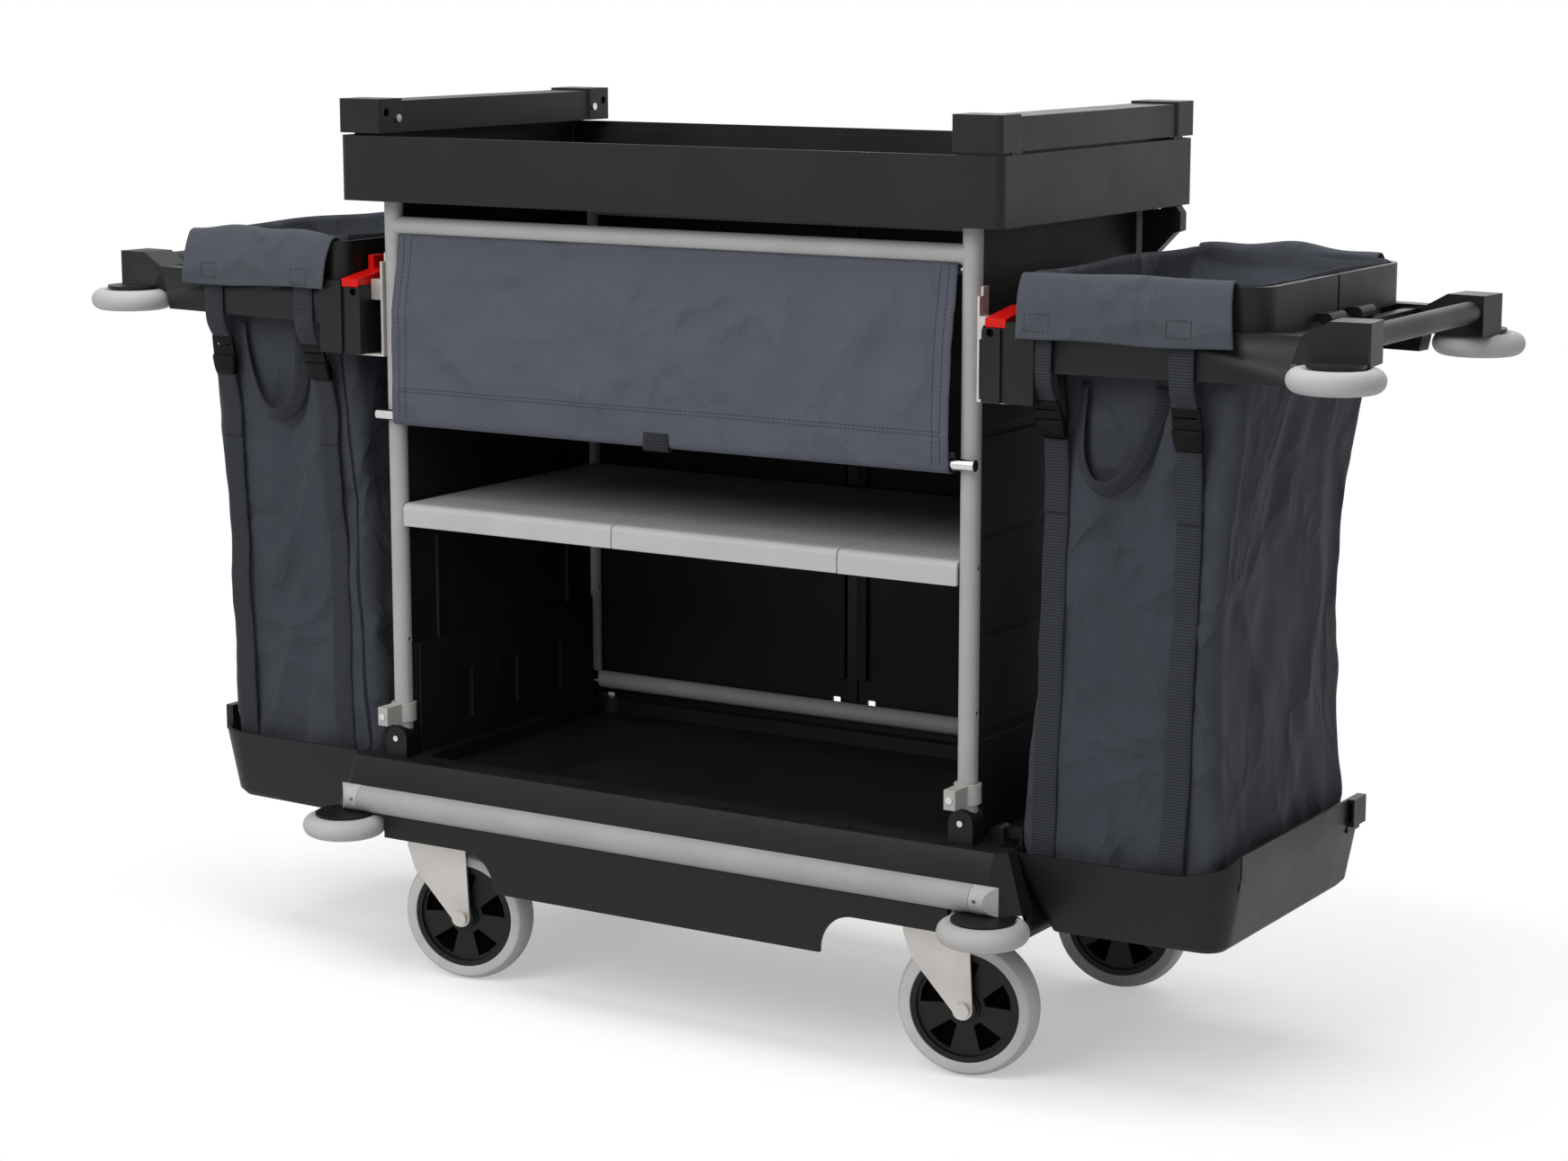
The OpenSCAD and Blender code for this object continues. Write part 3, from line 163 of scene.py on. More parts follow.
@dataclass(frozen=True)
class MouldedPlastic:
    """Injection moulded polymer: fine spark-eroded grain, soft highlight, dust and handling in the sheen."""

    name: str
    base: str
    worn: str
    roughness: float = 0.48
    grain_mm: float = 1.6
    grain_depth_mm: float = 0.05
    cloud_mm: float = 90.0
    specular: float = 0.24

    def build(self) -> bpy.types.Material:
        """Make the material.

        Returns:
            The material, with its node tree.
        """
        material, tree = new_tree(self.name)
        where = add_node(tree, "ShaderNodeTexCoord").outputs["Object"]
        # real spark grain is about 0.1 mm; it is drawn coarser so that it shows
        grain = add_node(tree, "ShaderNodeTexNoise",
                         {"Vector": where, "Scale": 1 / (self.grain_mm * MM), "Detail": 3.0})
        cloud = add_node(tree, "ShaderNodeTexNoise",
                         {"Vector": where, "Scale": 1 / (self.cloud_mm * MM), "Detail": 4.0})
        tone = add_node(tree, "ShaderNodeMapRange",
                        {"Value": cloud.outputs["Fac"], "From Min": 0.35, "From Max": 0.75})
        colour = add_node(tree, "ShaderNodeMix", {0: tone.outputs["Result"], 6: hex_linear(self.base),
                                                  7: hex_linear(self.worn)}, data_type="RGBA")
        rough = add_node(tree, "ShaderNodeMapRange",
                         {"Value": cloud.outputs["Fac"], "From Min": 0.3, "From Max": 0.7,
                          "To Min": self.roughness - 0.05, "To Max": self.roughness + 0.07})
        bump = add_node(tree, "ShaderNodeBump", {"Height": grain.outputs["Fac"], "Strength": 0.5,
                                                 "Distance": self.grain_depth_mm * MM})
        shader = add_node(tree, "ShaderNodeBsdfPrincipled",
                          {"Base Color": colour.outputs[2], "Roughness": rough.outputs["Result"],
                           "Normal": bump.outputs["Normal"], "IOR": 1.5,
                           "Specular IOR Level": self.specular})
        add_node(tree, "ShaderNodeOutputMaterial", {"Surface": shader.outputs["BSDF"]})
        return material


@dataclass(frozen=True)
class CoatedSteel:
    """Powder coated or plated steel: orange-peel ripple and a broad, slightly uneven highlight."""

    name: str
    base: str
    worn: str
    roughness: float = 0.36
    metallic: float = 0.0
    peel_mm: float = 3.0
    peel_depth_mm: float = 0.03
    cloud_mm: float = 60.0
    specular: float = 0.5

    def build(self) -> bpy.types.Material:
        """Make the material.

        Returns:
            The material, with its node tree.
        """
        material, tree = new_tree(self.name)
        where = add_node(tree, "ShaderNodeTexCoord").outputs["Object"]
        # orange peel of a powder coat is about 1 mm wide; it is drawn coarser so that it shows
        peel = add_node(tree, "ShaderNodeTexNoise",
                        {"Vector": where, "Scale": 1 / (self.peel_mm * MM), "Detail": 1.0})
        cloud = add_node(tree, "ShaderNodeTexNoise",
                         {"Vector": where, "Scale": 1 / (self.cloud_mm * MM), "Detail": 5.0})
        tone = add_node(tree, "ShaderNodeMapRange",
                        {"Value": cloud.outputs["Fac"], "From Min": 0.35, "From Max": 0.7})
        colour = add_node(tree, "ShaderNodeMix", {0: tone.outputs["Result"], 6: hex_linear(self.base),
                                                  7: hex_linear(self.worn)}, data_type="RGBA")
        rough = add_node(tree, "ShaderNodeMapRange",
                         {"Value": cloud.outputs["Fac"], "From Min": 0.3, "From Max": 0.7,
                          "To Min": self.roughness - 0.04, "To Max": self.roughness + 0.06})
        bump = add_node(tree, "ShaderNodeBump", {"Height": peel.outputs["Fac"], "Strength": 0.4,
                                                 "Distance": self.peel_depth_mm * MM})
        shader = add_node(tree, "ShaderNodeBsdfPrincipled",
                          {"Base Color": colour.outputs[2], "Roughness": rough.outputs["Result"],
                           "Normal": bump.outputs["Normal"], "Metallic": self.metallic,
                           "Specular IOR Level": self.specular})
        add_node(tree, "ShaderNodeOutputMaterial", {"Surface": shader.outputs["BSDF"]})
        return material


@dataclass(frozen=True)
class WovenCloth:
    """Plain-woven coated polyester: crossing threads, a dull face, and a little sheen at grazing light."""

    name: str
    warp: str
    weft: str
    thread_mm: float = 1.7
    thread_depth_mm: float = 0.22
    roughness: float = 0.82
    sheen: float = 0.06
    cloud_mm: float = 70.0
    crease_mm: float = 115.0
    crease_run: float = 1.45
    crease_depth_mm: float = 7.0

    def build(self) -> bpy.types.Material:
        """Make the material.

        Returns:
            The material, with its node tree.
        """
        material, tree = new_tree(self.name)
        across = add_node(tree, "ShaderNodeTexCoord").outputs["UV"]
        # the real threads are about 0.5 mm apart; they are drawn coarser so that they show
        scale = math.pi / 10 / (self.thread_mm * MM)
        warp = add_node(tree, "ShaderNodeTexWave",
                        {"Vector": across, "Scale": scale, "Distortion": 0.6, "Detail": 1.0,
                         "Detail Scale": 0.4}, bands_direction="X")
        weft = add_node(tree, "ShaderNodeTexWave",
                        {"Vector": across, "Scale": scale, "Distortion": 0.6, "Detail": 1.0,
                         "Detail Scale": 0.4}, bands_direction="Y")
        weave = add_node(tree, "ShaderNodeMath", {0: warp.outputs["Fac"], 1: weft.outputs["Fac"]},
                         operation="MULTIPLY")
        cloud = add_node(tree, "ShaderNodeTexNoise",
                         {"Vector": across, "Scale": 1 / (self.cloud_mm * MM), "Detail": 4.0})
        mixed = add_node(tree, "ShaderNodeMath", {0: weave.outputs[0], 1: cloud.outputs["Fac"]},
                         operation="MULTIPLY")
        colour = add_node(tree, "ShaderNodeMix", {0: mixed.outputs[0], 6: hex_linear(self.weft),
                                                  7: hex_linear(self.warp)}, data_type="RGBA")
        # creases that handling leaves in the cloth, longer down it than across
        hung = add_node(tree, "ShaderNodeMapping", {"Vector": across, "Rotation": (0.0, 0.0, 0.2),
                                                    "Scale": (1.0, 1 / self.crease_run, 1.0)})
        crease = add_node(tree, "ShaderNodeTexNoise",
                          {"Vector": hung.outputs["Vector"], "Scale": 1 / (self.crease_mm * MM),
                           "Detail": 3.0, "Roughness": 0.45, "Offset": 1.0, "Gain": 1.2, "Distortion": 0.5},
                          noise_type="RIDGED_MULTIFRACTAL")
        rumple = add_node(tree, "ShaderNodeBump", {"Height": crease.outputs["Fac"], "Strength": 1.0,
                                                   "Distance": self.crease_depth_mm * MM})
        bump = add_node(tree, "ShaderNodeBump", {"Height": weave.outputs[0], "Strength": 0.5,
                                                 "Distance": self.thread_depth_mm * MM,
                                                 "Normal": rumple.outputs["Normal"]})
        shader = add_node(tree, "ShaderNodeBsdfPrincipled",
                          {"Base Color": colour.outputs[2], "Roughness": self.roughness,
                           "Normal": bump.outputs["Normal"], "Sheen Weight": self.sheen,
                           "Sheen Roughness": 0.5, "Specular IOR Level": 0.06})
        add_node(tree, "ShaderNodeOutputMaterial", {"Surface": shader.outputs["BSDF"]})
        return material


@dataclass(frozen=True)
class RibbedWebbing:
    """Woven polypropylene webbing: raised ribs across its width and two plain selvedges."""

    name: str
    rib: str
    gap: str
    rib_mm: float = 3.2
    rib_depth_mm: float = 0.5
    tufts_per_m: float = 420.0
    roughness: float = 0.75

    def build(self) -> bpy.types.Material:
        """Make the material.

        Returns:
            The material, with its node tree.
        """
        material, tree = new_tree(self.name)
        across = add_node(tree, "ShaderNodeTexCoord").outputs["UV"]
        # ribs of such webbing are about 1.5 mm apart; they are drawn coarser so that they show
        ribs = add_node(tree, "ShaderNodeTexWave",
                        {"Vector": across, "Scale": math.pi / 10 / (self.rib_mm * MM), "Distortion": 0.4,
                         "Detail": 1.0}, bands_direction="Y")
        # single fibres can't show, so the fluff is drawn in tufts
        fluff = add_node(tree, "ShaderNodeTexNoise",
                         {"Vector": across, "Scale": self.tufts_per_m, "Detail": 3.0})
        tone = add_node(tree, "ShaderNodeMath", {0: ribs.outputs["Fac"], 1: fluff.outputs["Fac"]},
                        operation="MULTIPLY")
        colour = add_node(tree, "ShaderNodeMix", {0: tone.outputs[0], 6: hex_linear(self.gap),
                                                  7: hex_linear(self.rib)}, data_type="RGBA")
        bump = add_node(tree, "ShaderNodeBump", {"Height": ribs.outputs["Fac"], "Strength": 0.7,
                                                 "Distance": self.rib_depth_mm * MM})
        shader = add_node(tree, "ShaderNodeBsdfPrincipled",
                          {"Base Color": colour.outputs[2], "Roughness": self.roughness,
                           "Normal": bump.outputs["Normal"], "Sheen Weight": 0.05,
                           "Specular IOR Level": 0.1})
        add_node(tree, "ShaderNodeOutputMaterial", {"Surface": shader.outputs["BSDF"]})
        return material


class Finish(Enum):
    """Every finish of the cart."""

    # black-green polypropylene with a fine grain: nearly black in front, grey where light falls on it
    DARK_MOULDING = MouldedPlastic("moulded polypropylene, charcoal", "#141716", "#1a1e1d", 0.46)
    # plain black nylon for feet, buffer hubs, shelf bars and strips: a small, tight highlight
    BLACK_MOULDING = MouldedPlastic("moulded nylon, black", "#0d0d0e", "#131314", 0.45, specular=0.25)
    # coarser grain of the large flat panels and doors: they stay dull even in flat light
    PANEL_SHEET = MouldedPlastic("moulded polypropylene panel, black", "#161717", "#1c1d1d", 0.55, 2.2, 0.07,
                                 specular=0.18)
    # soft pale buffer that leaves no marks: even, dull, a little chalky
    GREY_BUMPER = MouldedPlastic("moulded thermoplastic rubber, pale grey", "#c4c3c1", "#b9b8b6", 0.62, 1.2,
                                 0.03)
    # drawn through a die, so it is smoother along its length than a moulding
    GREY_STRIP = MouldedPlastic("extruded vinyl strip, grey", "#b0b0af", "#a6a6a5", 0.5, 1.2, 0.02)
    # light planks with a faint gloss that shows their rounded front edge
    SHELF = MouldedPlastic("moulded polystyrene plank, light grey", "#c6c6c5", "#bcbcbb", 0.42, 1.4, 0.03)
    # waxy pale clips, a little warmer than the tubes they sit on
    CLIP = MouldedPlastic("moulded acetal clip, grey", "#b9b8b4", "#acaba8", 0.42, 1.4, 0.03)
    # hard black hub whose ribs catch a thin line of light
    HUB = MouldedPlastic("moulded nylon hub, black", "#0e0f0f", "#141515", 0.42, specular=0.25)
    # black plates of painted shade on the window floors, for the unlit inside of the hub seen through its
    # windows
    HUB_WINDOW = MouldedPlastic("moulded nylon hub window, matt black", "#040404", "#060606", 0.9,
                                specular=0.02)
    # pale tread that leaves no marks: dull, with wide clouds of wear
    TYRE = MouldedPlastic("moulded rubber tread, grey", "#d3d3d2", "#c8c8c7", 0.7, 1.2, 0.05, 40.0)
    # glossy signal red that draws the hand to it
    RED_RELEASE = MouldedPlastic("moulded acetal release, red", "#d8120b", "#c20f09", 0.36, 1.4, 0.02)
    # silver powder coat: a broad soft line of light along each tube
    TUBE_STEEL = CoatedSteel("powder coated tube steel, silver grey", "#b4b4b3", "#aaaaa9", 0.42, 0.0,
                             specular=0.25)
    # zinc with a warm cast, blurred by the pressing
    CASTOR_STEEL = CoatedSteel("zinc plated pressed steel", "#d0cbc6", "#c0bbb6", 0.34, 0.55, 4.0, 0.02)
    # bright plating that mirrors the studio in thin lines
    BRIGHT_STEEL = CoatedSteel("chromed steel", "#d2d2d2", "#c4c4c4", 0.16, 1.0, 4.0, 0.005)
    # light, closely woven cloth: even in tone, with shallow creases from hanging
    BLIND_CLOTH = WovenCloth("woven polyester blind cloth, blue grey", "#6e707e", "#575964", crease_run=1.3,
                             crease_depth_mm=5.0)
    # stiff coated cloth that keeps deep creases where it was folded
    BAG_CLOTH = WovenCloth("woven coated polyester bag cloth, slate", "#565a62", "#41444b",
                           crease_depth_mm=8.5)
    # the same cloth doubled, so that it creases less; its colours are drawn lighter than the bag's as painted
    # light
    FLAP_CLOTH = WovenCloth("woven coated polyester flap, slate", "#63666f", "#50535a", crease_mm=90.0,
                            crease_depth_mm=4.5)
    # ribs that break the light into short bars
    WEBBING = RibbedWebbing("woven polypropylene webbing, slate", "#4c5057", "#2c2e33")
    # hard black acetal that swallows light, so that the buckles stand out from the webbing
    BUCKLE = MouldedPlastic("moulded acetal buckle, black", "#08080a", "#0e0e10", 0.5, specular=0.12)
    # darker webbing, so that the tab shows against the cloth
    TAB_WEBBING = RibbedWebbing("woven polypropylene tab, dark", "#3d4047", "#24262b")
    # dull spun thread, close to the cloth in tone
    THREAD = MouldedPlastic("spun polyester thread, slate", "#40434a", "#383a40", 0.8)

    @property
    def material(self) -> bpy.types.Material:
        """Material of this finish, made once."""
        made = bpy.data.materials.get(self.value.name)
        return made or self.value.build()


def link_object(name: str, data: bpy.types.ID) -> bpy.types.Object:
    """Put an object into the scene.

    Args:
        name: name of the object.
        data: its mesh, lamp or camera.

    Returns:
        The new object.
    """
    obj = bpy.data.objects.new(name, data)
    bpy.context.scene.collection.objects.link(obj)
    return obj


def make_object(name: str, points: Sequence[Sequence[float]], faces: Sequence[Sequence[int]],
                finish: Finish, uv: Sequence[Pair] | None = None) -> bpy.types.Object:
    """Make a smooth mesh object with its finish.

    Args:
        name: name of the piece.
        points: corners in metres.
        faces: corner numbers of each face.
        finish: finish of the whole piece.
        uv: place of each corner on the flat material, in metres.

    Returns:
        The new object, linked to the scene.
    """
    mesh = bpy.data.meshes.new(name)
    mesh.from_pydata([tuple(p) for p in points], [], [tuple(f) for f in faces])
    mesh.polygons.foreach_set("use_smooth", [True] * len(mesh.polygons))
    if uv is not None:
        layer = mesh.uv_layers.new(name="flat")
        corner = np.zeros(len(mesh.loops), np.int32)
        mesh.loops.foreach_get("vertex_index", corner)
        layer.data.foreach_set("uv", np.array(uv, float)[corner].ravel())
    mesh.materials.append(finish.material)
    mesh.validate()
    return link_object(name, mesh)


def bake_modifiers(obj: bpy.types.Object) -> bpy.types.Object:
    """Turn the modified shape into the object's own mesh.

    Args:
        obj: object whose modifiers are applied.

    Returns:
        The same object.
    """
    graph = bpy.context.evaluated_depsgraph_get()
    mesh = bpy.data.meshes.new_from_object(obj.evaluated_get(graph))
    obj.modifiers.clear()
    obj.data = mesh
    return obj


def thicken(obj: bpy.types.Object, gauge: float, offset: float = -1.0) -> bpy.types.Object:
    """Give a single layer of cloth its gauge.

    Args:
        obj: the layer.
        gauge: thickness in metres.
        offset: -1 thickens behind the layer, 1 in front of it, 0 to both sides.

    Returns:
        The same object.
    """
    solid = obj.modifiers.new("gauge", "SOLIDIFY")
    solid.thickness = gauge
    solid.offset = offset
    return bake_modifiers(obj)


def grid_faces(columns: int, rows: int, closed: bool = False) -> list[tuple[int, int, int, int]]:
    """Faces of a grid of points kept row by row.

    Args:
        columns: points in a row.
        rows: number of rows.
        closed: whether each row closes on itself.

    Returns:
        The four corners of each face.
    """
    last = columns if closed else columns - 1
    return [(r * columns + c, r * columns + (c + 1) % columns, (r + 1) * columns + (c + 1) % columns,
             (r + 1) * columns + c) for r in range(rows - 1) for c in range(last)]


def tube_faces(sides: int, slices: int) -> list[Sequence[int]]:
    """Faces of a closed tube with flat ends.

    Args:
        sides: points in a slice.
        slices: number of slices.

    Returns:
        The faces of the wall and of both ends.
    """
    ends = [tuple(range(sides - 1, -1, -1)), tuple(range((slices - 1) * sides, slices * sides))]
    return [*grid_faces(sides, slices, True), *ends]


def prism_faces(sides: int) -> list[Sequence[int]]:
    """Faces of a prism whose two outlines are kept one after the other.

    Args:
        sides: points in an outline.

    Returns:
        The faces of both ends and of the wall.
    """
    wall = [(k, (k + 1) % sides, sides + (k + 1) % sides, sides + k) for k in range(sides)]
    return [tuple(range(sides)), tuple(range(2 * sides - 1, sides - 1, -1)), *wall]


def run_along(line: np.ndarray) -> np.ndarray:
    """Distance of each point from the start of its line, along the line."""
    return np.concatenate([[0], np.cumsum(np.linalg.norm(np.diff(line, axis=0), axis=1))])


def ramp(reach: np.ndarray, run: float, least: float = 0.0) -> np.ndarray:
    """Share that grows with the reach and is whole after the run."""
    return np.clip(reach / run, least, 1)


def smooth_path(points: Sequence[Sequence[float]], count: int) -> np.ndarray:
    """Draw an even smooth curve through points.

    Args:
        points: points of two or three numbers.
        count: number of points wanted.

    Returns:
        Array of the points along the curve.
    """
    p = np.array(points, float)
    p = np.vstack([2 * p[0] - p[1], p, 2 * p[-1] - p[-2]])
    fine = []
    steps = 24
    for i in range(1, len(p) - 2):
        for t in np.linspace(0, 1, steps, endpoint=False):
            a, b, c, d = p[i - 1:i + 3]
            fine.append(0.5 * (2 * b + (c - a) * t + (2 * a - 5 * b + 4 * c - d) * t ** 2
                               + (3 * b - a - 3 * c + d) * t ** 3))
    fine.append(p[-2])
    line = np.array(fine)
    run = run_along(line)
    even = np.linspace(0, run[-1], count)
    return np.stack([np.interp(even, run, line[:, k]) for k in range(line.shape[1])], axis=1)


def band(name: str, path: np.ndarray, width: float, gauge: float, finish: Finish,
         across: Callable[[int], Vector]) -> bpy.types.Object:
    """Make a flat woven band with soft edges along a path.

    Args:
        name: name of the piece.
        path: points of the band's middle line, in metres.
        width: width of the band.
        gauge: thickness of the band.
        finish: finish of the band.
        across: direction of the band's width at a point's number.

    Returns:
        The new object.
    """
    w, g = width / 2, gauge / 2
    section = [(-w, 0), (-w + g * 0.4, -g), (-w / 2, -g), (0, -g), (w / 2, -g), (w - g * 0.4, -g), (w, 0),
               (w - g * 0.4, g), (w / 2, g), (0, g), (-w / 2, g), (-w + g * 0.4, g)]
    points, uv, run = [], [], 0.0
    for i, here in enumerate(path):
        along = Vector(path[min(i + 1, len(path) - 1)] - path[max(i - 1, 0)]).normalized()
        wide = across(i)
        thick = along.cross(wide).normalized()
        if i:
            run += float(np.linalg.norm(path[i] - path[i - 1]))
        for a, b in section:
            points.append(Vector(here) + wide * a + thick * b)
            uv.append((a, run))
    obj = make_object(name, points, tube_faces(len(section), len(path)), finish, uv)
    fix_normals(obj)
    return obj


def level_width(_: int) -> Vector:
    """Width of a band that lies level along the cart."""
    return Vector((1, 0, 0))


def fix_normals(obj: bpy.types.Object) -> None:
    """Turn all faces of a closed mesh outwards.

    Args:
        obj: object with that mesh.
    """
    work = bmesh.new()
    work.from_mesh(obj.data)
    bmesh.ops.recalc_face_normals(work, faces=work.faces)
    work.to_mesh(obj.data)
    work.free()


def join(name: str, pieces: Sequence[bpy.types.Object]) -> bpy.types.Object:
    """Join pieces to one object.

    Args:
        name: name of the joined piece.
        pieces: the objects, of which the first is kept.

    Returns:
        The kept object.
    """
    with bpy.context.temp_override(active_object=pieces[0], object=pieces[0],
                                   selected_editable_objects=list(pieces), selected_objects=list(pieces)):
        bpy.ops.object.join()
    pieces[0].name = pieces[0].data.name = name
    return pieces[0]


@dataclass(frozen=True)
class Stitch:
    """Length of a stitch, distance from stitch to stitch and thickness of the thread, in millimetres."""

    length: float
    pitch: float
    thread: float


HEM_STITCH = Stitch(3.4, 5.4, 0.7)
BOX_STITCH = Stitch(3.2, 4.8, 0.8)


def stitches(name: str, path: np.ndarray, normal: Vector, stitch: Stitch) -> bpy.types.Object:
    """Make a row of stitches along a line.

    Args:
        name: name of the piece.
        path: points of the line, in metres.
        normal: direction out of the cloth.
        stitch: sizes of the stitches.

    Returns:
        The new object.
    """
    length, pitch, thread = stitch.length * MM, stitch.pitch * MM, stitch.thread * MM
    run = run_along(path)
    points: list[Vector] = []
    faces: list[tuple[int, ...]] = []
    for start in np.arange(0, run[-1] - length, pitch):
        a, b = (Vector([np.interp(s, run, path[:, k]) for k in range(3)]) for s in (start, start + length))
        along = (b - a).normalized()
        wide = along.cross(normal).normalized() * thread / 2
        lift = normal * thread / 2
        # the thread dips into the cloth at both ends
        ends = [a - along * thread * 0.3, a + along * thread * 0.4,
                b - along * thread * 0.4, b + along * thread * 0.3]
        first = len(points)
        for k, p in enumerate(ends):
            s = 0.35 if k in (0, 3) else 1.0
            points += [p + wide * s, p + lift * s, p - wide * s, p - lift * s]
        for k in range(3):
            for c in range(4):
                faces.append((first + 4 * k + c, first + 4 * k + (c + 1) % 4, first + 4 * k + 4 + (c + 1) % 4,
                              first + 4 * k + 4 + c))
        faces += [(first + 3, first + 2, first + 1, first), (first + 12, first + 13, first + 14, first + 15)]
    obj = make_object(name, points, faces, Finish.THREAD)
    fix_normals(obj)
    return obj


@dataclass(frozen=True)
class Fold:
    """A ridge or hollow in cloth along a line, in millimetres."""

    line: tuple[Point, ...]
    width: float
    depth: float
    sharp: bool = False

    def lift(self, points: np.ndarray) -> np.ndarray:
        """How far the fold moves each point out.

        Args:
            points: points in millimetres.

        Returns:
            Array of distances in millimetres.
        """
        nearest = np.full(len(points), 1e9)
        line = np.array(self.line, float)
        for a, b in zip(line[:-1], line[1:]):
            t = np.clip((points - a) @ (b - a) / float((b - a) @ (b - a)), 0, 1)
            nearest = np.minimum(nearest, np.linalg.norm(points - a - t[:, None] * (b - a), axis=1))
        if self.sharp:
            return self.depth * np.exp(-np.sqrt((nearest / self.width) ** 2 + 0.01) * 1.4)
        return self.depth * np.exp(-(nearest / self.width) ** 2)


def ripple(points: np.ndarray, scale: float, depth: float, seed: float) -> np.ndarray:
    """Even random waviness of cloth.

    Args:
        points: points in millimetres.
        scale: size of a wave in millimetres.
        depth: height of a wave in millimetres.
        seed: shift of the pattern.

    Returns:
        Array of distances in millimetres.
    """
    shift = Vector((seed, seed * 0.7, 0))
    return np.array([depth * noise.noise(Vector(p / scale) + shift) for p in points])


@dataclass
class HardParts:
    """Rigid nodes of the frame: each gets its finish and softened edges."""

    edge_mm: float = 1.2
    broad_mm: float = 2.4
    fine_mm: float = 0.5
    sharp_deg: float = 38.0
    shade_weight: int = 80

    FINISHES = {
        Finish.DARK_MOULDING: ("top_tray", *at_ends("gallery_rail"), *at_ends("bag_frame"),
                               *at_ends("bag_rim"), "tray_brackets", *at_ends("handle")),
        Finish.BLACK_MOULDING: ("post_feet", "buffer_hubs", "shelf_bars"),
        Finish.PANEL_SHEET: (*at_ends("side_panel"), *at_ends("rear_door")),
        Finish.GREY_BUMPER: ("strip_end_caps", *at_corners("base_buffer"), *at_corners("arm_buffer")),
        Finish.GREY_STRIP: ("bumper_strips",),
        Finish.TUBE_STEEL: ("front_posts", "rear_posts", "front_top_rail", "rear_rails"),
        Finish.CASTOR_STEEL: ("castor_plates", *at_corners("fork"), "frame_hooks"),
        Finish.HUB: at_corners("wheel_hub"),
        Finish.TYRE: at_corners("tyre"),
        Finish.SHELF: ("shelf_planks",),
        Finish.CLIP: ("blind_catches",),
        Finish.BRIGHT_STEEL: ("steel_screws", "blind_rod", "blind_bar"),
        Finish.RED_RELEASE: at_ends("latch"),
    }
    FINE = ("steel_screws", "blind_bar", "blind_rod", *at_corners("fork"), "castor_plates", "frame_hooks")
    BROAD = ("top_tray", *at_ends("gallery_rail"), *at_ends("bag_frame"))

    def dress(self) -> None:
        """Give each rigid node its finish and edges."""
        for finish, names in self.FINISHES.items():
            for name in names:
                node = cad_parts[name]
                if finish is Finish.HUB:
                    self.shade_faces(node.data, False)
                else:
                    self.soften(node, self.edge_of(name))
                node.data.materials.clear()
                node.data.materials.append(finish.material)
                LOG.info("dressed %s", name)

    def edge_of(self, name: str) -> float:
        """Width of the rounding of a node's edges, in millimetres."""
        return self.fine_mm if name in self.FINE else self.broad_mm if name in self.BROAD else self.edge_mm

    def shade_faces(self, mesh: bpy.types.Mesh, smooth: bool) -> None:
        """Shade a mesh by its own faces.

        Args:
            mesh: mesh of a node.
            smooth: whether faces blend into each other, or stay flat to the eye.
        """
        if "custom_normal" in mesh.attributes:
            mesh.attributes.remove(mesh.attributes["custom_normal"])
        mesh.polygons.foreach_set("use_smooth", [smooth] * len(mesh.polygons))

    def soften(self, node: bpy.types.Object, edge_mm: float) -> None:
        """Round the sharp edges of a node for the eye.

        Args:
            node: object of the frame.
            edge_mm: width of the rounding.
        """
        self.shade_faces(node.data, True)
        weld = node.modifiers.new("weld", "WELD")
        weld.merge_threshold = WELD_GAP
        edge = node.modifiers.new("edge", "BEVEL")
        edge.width = edge_mm * MM
        edge.segments = 2
        edge.limit_method = "ANGLE"
        edge.angle_limit = math.radians(self.sharp_deg)
        edge.miter_outer = "MITER_ARC"
        shade = node.modifiers.new("shade", "WEIGHTED_NORMAL")
        shade.keep_sharp = False
        shade.weight = self.shade_weight


@dataclass
class Deck:
    """Base deck with its aprons: one moulding to the eye."""

    split_z: float = 0.162
    seam_gap: float = 0.00001
    weld: float = 0.00003

    def build(self, hard: HardParts) -> None:
        """Join the two nodes without the seam between them.

        Args:
            hard: gives the moulding its soft edges.
        """
        nodes = [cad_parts[n] for n in ("base_deck", "deck_aprons")]
        work = bmesh.new()
        for node in nodes:
            work.from_mesh(node.data)
        seam = [f for f in work.faces if all(abs(v.co.z - self.split_z) < self.seam_gap for v in f.verts)]
        bmesh.ops.delete(work, geom=seam, context="FACES")
        bmesh.ops.remove_doubles(work, verts=work.verts, dist=self.weld)
        mesh = bpy.data.meshes.new("deck_moulding")
        work.to_mesh(mesh)
        work.free()
        mesh.materials.clear()
        mesh.materials.append(Finish.DARK_MOULDING.material)
        obj = link_object("deck_moulding", mesh)
        hard.soften(obj, hard.edge_mm)
        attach(obj, "chassis")
        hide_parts("base_deck", "deck_aprons")
        LOG.info("joined the deck")


